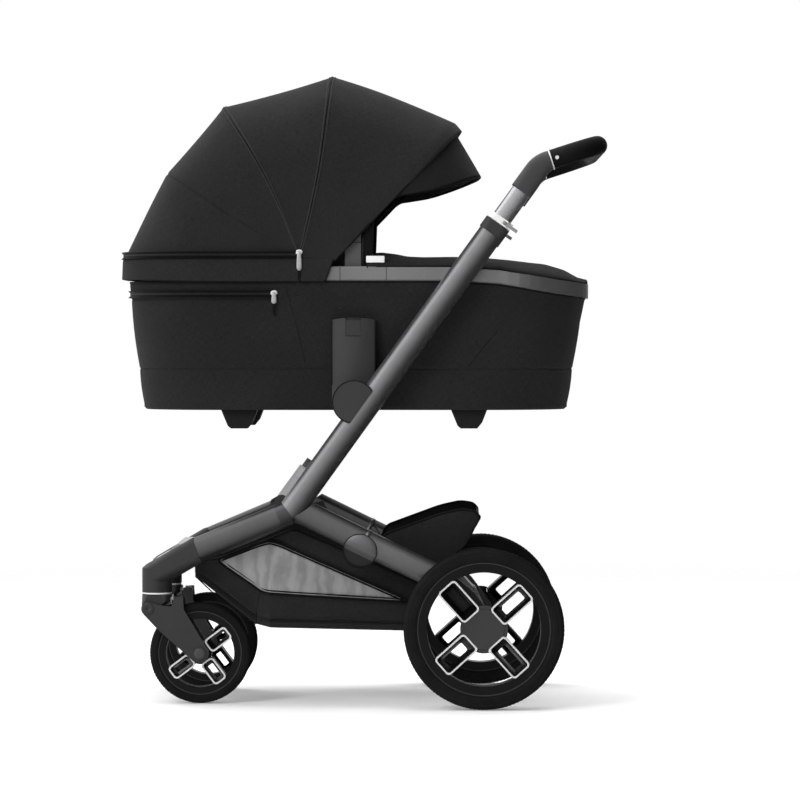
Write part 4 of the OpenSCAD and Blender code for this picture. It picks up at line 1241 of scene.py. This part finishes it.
def basket():
    xs = np.unique(np.r_[np.linspace(-0.312, 0.118, 66), BASKET_TOP[:, 0], BASKET_LOW[:, 0]])
    rows = []
    for x in xs:
        top, low = float(np.interp(x, *BASKET_TOP.T)), float(np.interp(x, *BASKET_LOW.T))
        levels = [top + (low - top) * f for f in np.linspace(0, 1, 27)]
        side = [(x, float(basket_side(x, z)), z) for z in levels]
        w = side[-1][1]
        r = min(0.018, w * 0.5, (top - low) * 0.4)
        turn = np.radians(np.linspace(0, 90, 9))
        corner = [(x, w - r + r * math.cos(a), low + r - r * math.sin(a)) for a in turn]
        body = [p for p in side if p[2] > low + r] + corner
        half = resample(np.array(body + [(x, 0, low - 0.0015)]), 60)
        soft = wrinkle(half, 8.0, 5.0)
        half[:, 1] += 0.0030 * soft * np.sin(np.pi * np.clip((top - half[:, 2]) / max(top - low, 0.01), 0, 1))
        sag = 1 - np.clip(half[:, 1] / 0.12, 0, 1) ** 2
        half[:, 2] -= 0.003 * sag * np.clip((x + 0.17) / 0.05, 0, 1) * np.clip((0.08 - x) / 0.05, 0, 1)
        rows.append(np.vstack([half * [1, -1, 1], half[-2::-1]]))
    cloth = grid("basket_cloth", np.array(rows), mats["charcoal_fabric"])
    thicken(cloth, 0.0022, 0.0)
    place(cloth, "chassis", ["basket_shell"])
    rim = fillet(BASKET_TOP, 0.012, 160)
    for sign, side in SIDES:
        half = np.interp(rim[:, 0], BASKET_TOP[:, 0], TOP_HALF) + 0.0008
        cord("basket_hem_" + side, np.c_[rim[:, 0], sign * half, rim[:, 1]], 0.0030, "chassis",
             "charcoal_fabric")
        net(sign, side)
        for name, line in (("front", [(-0.3115, 0.2305), (-0.262, 0.184), (-0.2005, 0.1435)]),
                           ("bend", [(-0.1905, 0.2055), (-0.1975, 0.174), (-0.2, 0.1445)]),
                           ("back", [(0.112, 0.214), (0.098, 0.196), (0.0815, 0.1375)]),
                           ("low", [(-0.196, 0.150), (-0.170, 0.1475), (0.074, 0.1425)])):
            line = fillet(np.array(line), 0.008, 90)
            path = np.c_[line[:, 0], sign * (basket_side(line[:, 0], line[:, 1]) + 0.0016), line[:, 1]]
            stitches(f"basket_stitching_{name}_{side}", path, (0, sign, 0.0), "chassis")
            welt = path + [0.0, -sign * 0.0004, 0.0045 if name == "low" else 0.0]
            cord(f"basket_welt_{name}_{side}", welt, 0.0011, "chassis", "charcoal_fabric")


def net(sign, side):
    """Netting window with its bound edge."""
    outline_xz = fillet(WINDOW, 0.007, 240, closed=True)
    centre = np.array([-0.150, 0.243])
    rows = []
    for share in np.linspace(1, 0.001, 26):
        q = centre + (outline_xz - centre) * share
        y = sign * (basket_side(q[:, 0], q[:, 1]) + 0.0022)
        soft = wrinkle(np.c_[q[:, 0], y, q[:, 1]], 14.0, 9.0 + sign)
        rows.append(np.c_[q[:, 0], y + sign * 0.0022 * soft * (1 - share**6), q[:, 1]])
    mesh = grid("basket_net_" + side, np.array(rows), mats["net"], wrap=True, flip=sign > 0)
    layer = mesh.data.uv_layers[0].data
    for loop in mesh.data.loops:
        co = mesh.data.vertices[loop.vertex_index].co
        layer[loop.index].uv = (co.x, co.z)
    thicken(mesh, 0.0008)
    place(mesh, "chassis")
    x, z = outline_xz.T
    ring = np.c_[x, sign * (basket_side(x, z) + 0.0026), z]
    out = -flat_normals(outline_xz)
    band = sweep("basket_window_binding_" + side, ring, strip_section(0.0016, 0.0085), mats["binding"],
                 up=np.c_[out[:, 0], np.zeros(len(out)), out[:, 1]], closed=True)
    place(band, "chassis")


basket()


def scoop():
    """Cloth at the basket's rear mouth, standing up between the rear legs."""
    outer = np.array([(0.022, 0.272), (0.036, 0.310), (0.139, 0.348), (0.179, 0.357), (0.203, 0.353),
                      (0.211, 0.344), (0.186, 0.293), (0.140, 0.255), (0.119, 0.218)])
    half = box("basket_scoop")[1].y
    spine_out = fillet(outer, 0.012, 240, closed=True)
    centre = outer.mean(0)
    for sign, side in SIDES:
        rows = []
        for share in np.linspace(1, 0.002, 20):
            q = centre + (spine_out - centre) * share
            y = np.full(len(q), sign * half)
            soft = wrinkle(np.c_[q[:, 0], y, q[:, 1]], 13.0, 2.0 + sign)
            full = (0.0035 + 0.002 * soft) * (1 - share**4)
            rows.append(np.c_[q[:, 0], y + sign * (full - 0.002), q[:, 1]])
        face = grid("basket_scoop_side_" + side, np.array(rows), mats["charcoal_fabric"], wrap=True,
                    flip=sign > 0)
        thicken(face, 0.0018)
        place(face, "chassis", ["basket_scoop"] if sign < 0 else ())
        top = fillet(outer[:6], 0.012, 120)
        path = np.c_[top[:, 0], np.full(120, sign * (half - 0.001)), top[:, 1] + 0.0008]
        cord("scoop_hem_" + side, path, 0.0024, "chassis", "charcoal_fabric")
        inner = centre + (fillet(outer[1:6], 0.012, 110) - centre) * 0.92
        path = np.c_[inner[:, 0], np.full(110, sign * (half + 0.0004)), inner[:, 1]]
        stitches("scoop_stitching_" + side, path, (0, sign, 0), "chassis")
    back = fillet(outer[[5, 6, 7, 8]], 0.02, 60)
    q = np.linspace(-1, 1, 61)
    rows = []
    for x, z in back:
        y = q * (half - 0.0015)
        soft = wrinkle(np.c_[np.full(61, x), y, np.full(61, z)], 9.0, 6.0)
        slack = 1 - q**2
        rows.append(np.c_[x + 0.002 * soft * slack, y, z - 0.010 * slack * bump_at(z, 0.344, 0.03)])
    panel = grid("basket_scoop_back", np.array(rows), mats["charcoal_fabric"])
    thicken(panel, 0.0020)
    place(panel, "chassis")
    cord("scoop_hem_back", rows[0], 0.0026, "chassis", "charcoal_fabric", up=(0, 0, 1))


scoop()

# ---------------------------------------------------------------- wheels

# Turn of the first spoke, in the side view
REAR_SPOKE, FRONT_SPOKE = -48, -53


def tyre(name, node, body, bolt, rim_r):
    """Foam tyre with sidewall lines and a shallow ribbed tread."""
    low, high = box(node)
    centre = (low + high) / 2
    r, half = (high.x - low.x) / 2, (high.y - low.y) / 2
    shoulder = 0.0105 * half / 0.023
    profile = [(rim_r, -half * 0.80), (rim_r + 0.0015, -half * 0.86)]
    inner, outer = rim_r + 0.0015, r - shoulder
    for f in np.linspace(0.04, 1, 22):
        rr = inner + (outer - inner) * f
        bulge = 0.86 + 0.14 * math.sin(math.pi * min(1, 0.12 + 0.62 * f))
        dip = 0.030 * (bump_at(f, 0.18, 0.035) + bump_at(f, 0.60, 0.03)) + 0.018 * bump_at(f, 0.86, 0.03)
        profile.append((rr, -half * (bulge - dip)))
    for a in np.radians(np.linspace(12, 78, 9)):
        y = -half * (0.985 - 0.30 * (1 - math.cos(a)))
        profile.append((r - shoulder + shoulder * math.sin(a) - 0.0002, y))
    for y in np.linspace(-0.66, 0, 12):
        groove = 0.0016 * bump_at(y, -0.36, 0.05) + 0.0016 * bump_at(y, 0.0, 0.05)
        profile.append((r - 0.0003 - groove - 0.0008 * y * y, half * y))
    profile = np.array(profile)
    profile = np.vstack([profile, profile[-2::-1] * [1, -1]])

    def ripple(a, p):
        tread = np.clip((p[..., 0] - (r - 0.006)) / 0.004, 0, 1)
        phase = np.sin(bolt * a + 260 * np.abs(p[..., 1]))
        return -0.0009 * tread * np.clip(phase * 2.2, -1, 1) ** 2 * (np.abs(p[..., 1]) > half * 0.1)

    obj = lathe(name, profile, centre, mats["tyre_rubber"], steps=360, ripple=ripple)
    place(obj, body, [node])
    for sign in (-1, 1):
        ring = ring_section(0.0012, 8) + [rim_r + 0.0004, sign * half * 0.84]
        bead = lathe(f"{name}_bead_{'ab'[sign > 0]}", ring, centre, mats["hub_plastic"], steps=160)
        place(bead, body)


for sign, side in SIDES:
    tyre("rear_tyre_foam_" + side, "rear_tyre_" + side, "rear_wheel_" + side, 62, 0.1188)
    tyre("front_tyre_foam_" + side, "front_tyre_" + side, "front_wheel_" + side, 46, 0.0752)


# A spoke liner's wall, down the inside and back up behind it: depth, length, width and outward shift
SPOKE_STEPS = ((0.0, 1.0, 1.0, 0.0), (0.10, 0.965, 0.94, 0.0), (0.45, 0.86, 0.78, 0.01),
               (1.0, 0.70, 0.56, 0.03), (1.0, 0.80, 0.70, 0.03), (0.45, 0.96, 0.92, 0.01),
               (0.08, 1.04, 1.05, 0.0))


def spoke_liners(name, node, body, sign, middle, long, wide, depth, turn):
    """Tapered walls inside each open spoke, behind its bright frame."""
    centre = middle_of(node)
    face = outer_y(node, sign)
    parts = []
    for k in range(4):
        a = math.radians(turn + 90 * k)
        out, across = np.array([math.cos(a), math.sin(a)]), np.array([-math.sin(a), math.cos(a)])
        rows = []
        for d, size_l, size_w, shift in SPOKE_STEPS:
            l, w = long * size_l / 2, wide * size_w / 2
            loop = np.array([(-l, -w), (l, -w), (l, w), (-l, w)]) + [shift * long, 0]
            loop = fillet(loop, min(l, w) * 0.3, 48, closed=True)
            xz = np.array([centre.x, centre.z]) + (loop[:, :1] + middle) * out + loop[:, 1:] * across
            rows.append(np.c_[xz[:, 0], np.full(48, face - sign * (0.0005 + d * depth)), xz[:, 1]])
        rows.append(rows[0])
        parts.append(grid(f"{name}_{k}", np.array(rows), mats["rim_black"], wrap=True, flip=sign > 0))
    place(join(name, parts), body)


for sign, side in SIDES:
    for end, sizes, turn in (("rear", (0.0675, 0.064, 0.031, 0.026), REAR_SPOKE),
                             ("front", (0.0415, 0.039, 0.018, 0.020), FRONT_SPOKE)):
        spoke_liners(f"{end}_spoke_liners_{side}", f"{end}_rim_{side}", f"{end}_wheel_{side}", sign, *sizes,
                     turn)


def caster_details(sign, side):
    """White ring and coil spring at a caster's stem."""
    y = sign * middle_of("front_tyre_right").y
    ring = [(0.0095, -0.0016), (0.0262, -0.0016), (0.0268, -0.0010), (0.0268, 0.0010), (0.0262, 0.0016),
            (0.0095, 0.0016)]
    collar = lathe("stem_ring_" + side, ring, (-0.380, y, 0.2022), mats["white_plastic"], steps=96, axis="Z")
    place(collar, "chassis")
    turns = np.linspace(0, 4.5 * 2 * math.pi, 220)
    x = -0.3655 + 0.0150 * turns / turns[-1]
    coil = np.c_[x, y + 0.0094 * np.cos(turns), 0.190 + 0.0094 * np.sin(turns)]
    spring = tube("fork_spring_" + side, coil, 0.0011, mats["chrome_trim"], sides=8, up=(1, 0, 0))
    place(spring, "caster_" + side)


for sign, side in SIDES:
    caster_details(sign, side)
    pivot = [(0.0002, -0.0012), (0.0100, -0.0012), (0.0112, -0.0004), (0.0112, 0.0030), (0.0002, 0.0030)]
    pivot = [(r, -sign * y) for r, y in pivot]
    centre = (-0.3948, outer_y("fork_" + side, sign) - sign * 0.0020, 0.1746)
    cap = lathe("fork_pivot_" + side, pivot, centre, mats["dark_plastic"], steps=64)
    place(cap, "caster_fork_" + side)

# ---------------------------------------------------------------- elbows


def oval_section(half_long, half_wide, power, n=48):
    """A rounded section between a circle (power 2) and a box."""
    a = np.linspace(0, 2 * math.pi, n, endpoint=False)
    c, k = np.cos(a), np.sin(a)
    wide, long = np.sign(c) * np.abs(c) ** (2 / power), np.sign(k) * np.abs(k) ** (2 / power)
    return np.stack([wide * half_wide, long * half_long], 1)


def elbows():
    """Moulded elbows, wide at the tube and narrowing round the bend to the grip."""
    foot, slope = PUSHBAR_LINE
    push, grip, bend = math.radians(slope), math.radians(18.0), 0.050
    up = np.array([math.cos(push), math.sin(push)])
    start = np.array(foot) + 0.6925 * up
    straight = [start + up * d for d in np.linspace(0, 0.0473, 14)]
    pivot = straight[-1] + bend * np.array([math.sin(push), -math.cos(push)])
    arc = [pivot + bend * np.array([-math.sin(a), math.cos(a)]) for a in np.linspace(push, grip, 26)]
    line = np.array(straight + arc[1:])
    share = np.clip((np.arange(len(line)) - 12) / (len(line) - 13), 0, 1) ** 1.1
    sections = []
    for f in share:
        long, wide = 0.0208 * (1 - f) + 0.0177 * f, 0.0152 * (1 - f) + 0.0177 * f
        sections.append(oval_section(long, wide, 3.4 * (1 - f) + 2 * f))
    for sign, side in SIDES:
        path = np.c_[line[:, 0], np.full(len(line), sign * TUBE_Y), line[:, 1]]
        normal = np.gradient(line, axis=0)
        ups = np.c_[-normal[:, 1], np.zeros(len(line)), normal[:, 0]]
        elbow = sweep("elbow_" + side, path, np.array(sections), mats["elbow_plastic_painted_highlight"], ups)
        place(elbow, "handle", ["handle_elbows"] if sign < 0 else ())


elbows()

# ---------------------------------------------------------------- small parts


def block(name, low, high, material, body, edge=0.0012, segments=3):
    """A box with rounded edges between two corners."""
    x, y, z = zip(low, high)
    verts = [(x[i], y[j], z[k]) for i in (0, 1) for j in (0, 1) for k in (0, 1)]
    faces = [(0, 1, 3, 2), (4, 6, 7, 5), (0, 4, 5, 1), (2, 3, 7, 6), (0, 2, 6, 4), (1, 5, 7, 3)]
    obj = new_object(name, verts, faces, mats[material])
    m = obj.modifiers.new("bevel", "BEVEL")
    m.width, m.segments, m.limit_method = edge, segments, "NONE"
    finalise(obj)
    return place(obj, body)


rim_y = RIM["half"]
block("rim_tag", (0.0045, -rim_y - 0.0022, 0.8070), (0.0380, -rim_y + 0.004, 0.8192), "white_plastic",
      "carrycot")


def plate(name, outline_xz, y0, y1, material, body, r=0.002, n=72):
    """A flat part with the outline given in the side view, its edges slightly rounded."""
    loop = fillet(np.array(outline_xz), r, n, closed=True)
    centre = loop.mean(0)
    step = math.copysign(min(abs(y1 - y0) * 0.3, 0.0012), y1 - y0)
    shrunk = loop - flat_normals(loop) * np.sign(np.sum((loop - centre) * flat_normals(loop))) * abs(step)
    middle = centre + (loop - centre) * 0.02
    stack = ((y0, middle), (y0, shrunk), (y0 + step, loop), (y1 - step, loop), (y1, shrunk), (y1, middle))
    rows = [np.c_[flat[:, 0], np.full(n, y), flat[:, 1]] for y, flat in stack]
    return place(grid(name, np.array(rows), mats[material], wrap=True), body)


def disc_ring(name, centre, r, y, body, thick, arc=(0, 360)):
    """A thin dark line round a disc's edge, painted shade standing in for the shadow in the gap there."""
    a = np.radians(np.linspace(*arc, 96))
    path = np.c_[centre[0] + r * np.cos(a), np.full(96, y), centre[1] + r * np.sin(a)]
    cord(name, path, thick, body, "black_plastic", sides=6)


# Dark plates round the canopy's hinges: outline, outer and inner faces, material, body and corner
HINGE_PLATES = {
    # The shade plate is a black sheet standing in for the shade in the gap beside the pillar: painted shade.
    "shade": ([(-0.0655, 0.8003), (-0.0655, 0.8255), (-0.0500, 0.8415), (-0.0347, 0.8455), (-0.0347, 0.8003)],
              0.1922, 0.1905, "binding", "carrycot", 0.003),
    "back": ([(-0.0350, 0.8100), (-0.0340, 0.8600), (0.0195, 0.8990), (0.0150, 0.8100)],
             0.1660, 0.1630, "binding", "canopy", 0.004),
    "strip": ([(-0.0045, 0.8000), (-0.0045, 0.8640), (0.0000, 0.8700), (0.0030, 0.8640), (0.0030, 0.8000)],
              0.1958, 0.1885, "rim_black", "carrycot", 0.0015),
    "flap": ([(0.0020, 0.8195), (0.0015, 0.8800), (0.0150, 0.8905), (0.0195, 0.8880), (0.0170, 0.8195)],
             0.2005, 0.1965, "binding", "canopy", 0.003),
}
for sign, side in SIDES:
    for part, (shape, outer, inner, material, body, corner) in HINGE_PLATES.items():
        plate(f"hinge_{part}_{side}", shape, sign * outer, sign * inner, material, body,
              corner)
    for k, x in enumerate((-0.0430, 0.0410)):
        seam = [(x, sign * (half_width(x) + 0.0007), z) for z in np.linspace(0.7745, 0.7995, 6)]
        cord(f"rim_seam_{side}_{k}", seam, 0.0005, "carrycot", "black_plastic", sides=6)
    seam = [(x, sign * 0.1958, 0.8440) for x in np.linspace(-0.0335, -0.0055, 6)]
    cord("pillar_seam_" + side, seam, 0.0005, "carrycot", "black_plastic", sides=6)


def domed(name, r, rise, x, z, face, sign, material, body):
    """A shallow round cap on an outer face."""
    profile = [(0.0002, -0.0008), (r, -0.0008), (r, 0.1 * rise), (0.97 * r, 0.25 * rise),
               (0.8 * r, 0.6 * rise), (0.5 * r, 0.88 * rise), (0.25 * r, 0.98 * rise), (0.0012, 0.998 * rise),
               (0.0006, rise), (0.0002, rise)]
    cap = lathe(name, [(a, sign * b) for a, b in profile], (x, face, z), mats[material], steps=128)
    return place(cap, body)


KNEE = cad_point("rear_suspension")
DISC, DISC_R = (-0.0169, 0.5541), 0.0384
# The band round the rear tube below the knee: its centre in the side view, and half its section
BAND_AT, BAND_LONG, BAND_WIDE = (0.0019, 0.3006), 0.0233, 0.0153
BRACKET_EDGE = [(-0.0577, 0.5850), (-0.0577, 0.7043), (-0.0420, 0.7068), (-0.0184, 0.7083), (0.0052, 0.7068),
                (0.0209, 0.7043), (0.0209, 0.6100)]
for sign, side in SIDES:
    l, w = BAND_LONG, BAND_WIDE
    ring = fillet(np.array([(-l, -w), (l, -w), (l, w), (-l, w)]), 0.0100, 96, closed=True)
    slope = math.radians(REAR_LEG_LINE[1])
    rows = []
    for shift, grow in ((-0.004, -0.0010), (-0.004, 0.0003), (0.004, 0.0003), (0.004, -0.0010)):
        hoop = ring * (1 + grow / BAND_LONG)
        rows.append(np.c_[BAND_AT[0] - math.sin(slope) * hoop[:, 0] + math.cos(slope) * shift,
                          sign * TUBE_Y + hoop[:, 1],
                          BAND_AT[1] + math.cos(slope) * hoop[:, 0] + math.sin(slope) * shift])
    band = grid("knee_band_" + side, np.array(rows), mats["tube_lower_leg"], wrap=True)
    place(band, "rear_frame")
    face = outer_y("lower_leg_" + side, sign)
    domed("knee_cap_" + side, 0.0306, 0.0028, KNEE[0], KNEE[2], face, sign, "knee_cap", "rear_frame")
    disc_ring("knee_line_" + side, (KNEE[0], KNEE[2]), 0.0307, face + sign * 0.0004, "rear_frame", 0.0007)
    face = outer_y("adapter_discs", sign)
    disc_ring("disc_line_" + side, DISC, DISC_R, face - sign * 0.0002, "pushbar", 0.0011, (31, 257))
    # Painted shade: a thin black line round the bracket's edge stands in for the shadow in the gap there.
    line = fillet(np.array(BRACKET_EDGE), 0.002, 160)
    path = np.c_[line[:, 0], np.full(160, sign * 0.2216), line[:, 1]]
    cord("bracket_line_" + side, path, 0.0011, "carrycot", "black_plastic", sides=6)
    hub, face = middle_of("front_tyre_" + side), outer_y("fork_" + side, sign)
    domed("front_axle_cap_" + side, 0.0098, 0.0016, hub.x, hub.z, face, sign, "cap_plastic",
          "caster_fork_" + side)

rim_loop = outline(RIM["head"], RIM["foot"] + 0.0006, RIM["half"] + 0.0012, 0, 700)
rim_under = np.c_[rim_loop, rim_z(rim_loop[:, 0]) - 0.0018]
cord("rim_gasket", rim_under, 0.0021, "carrycot", "black_plastic", closed=True, up=(0, 0, 1))
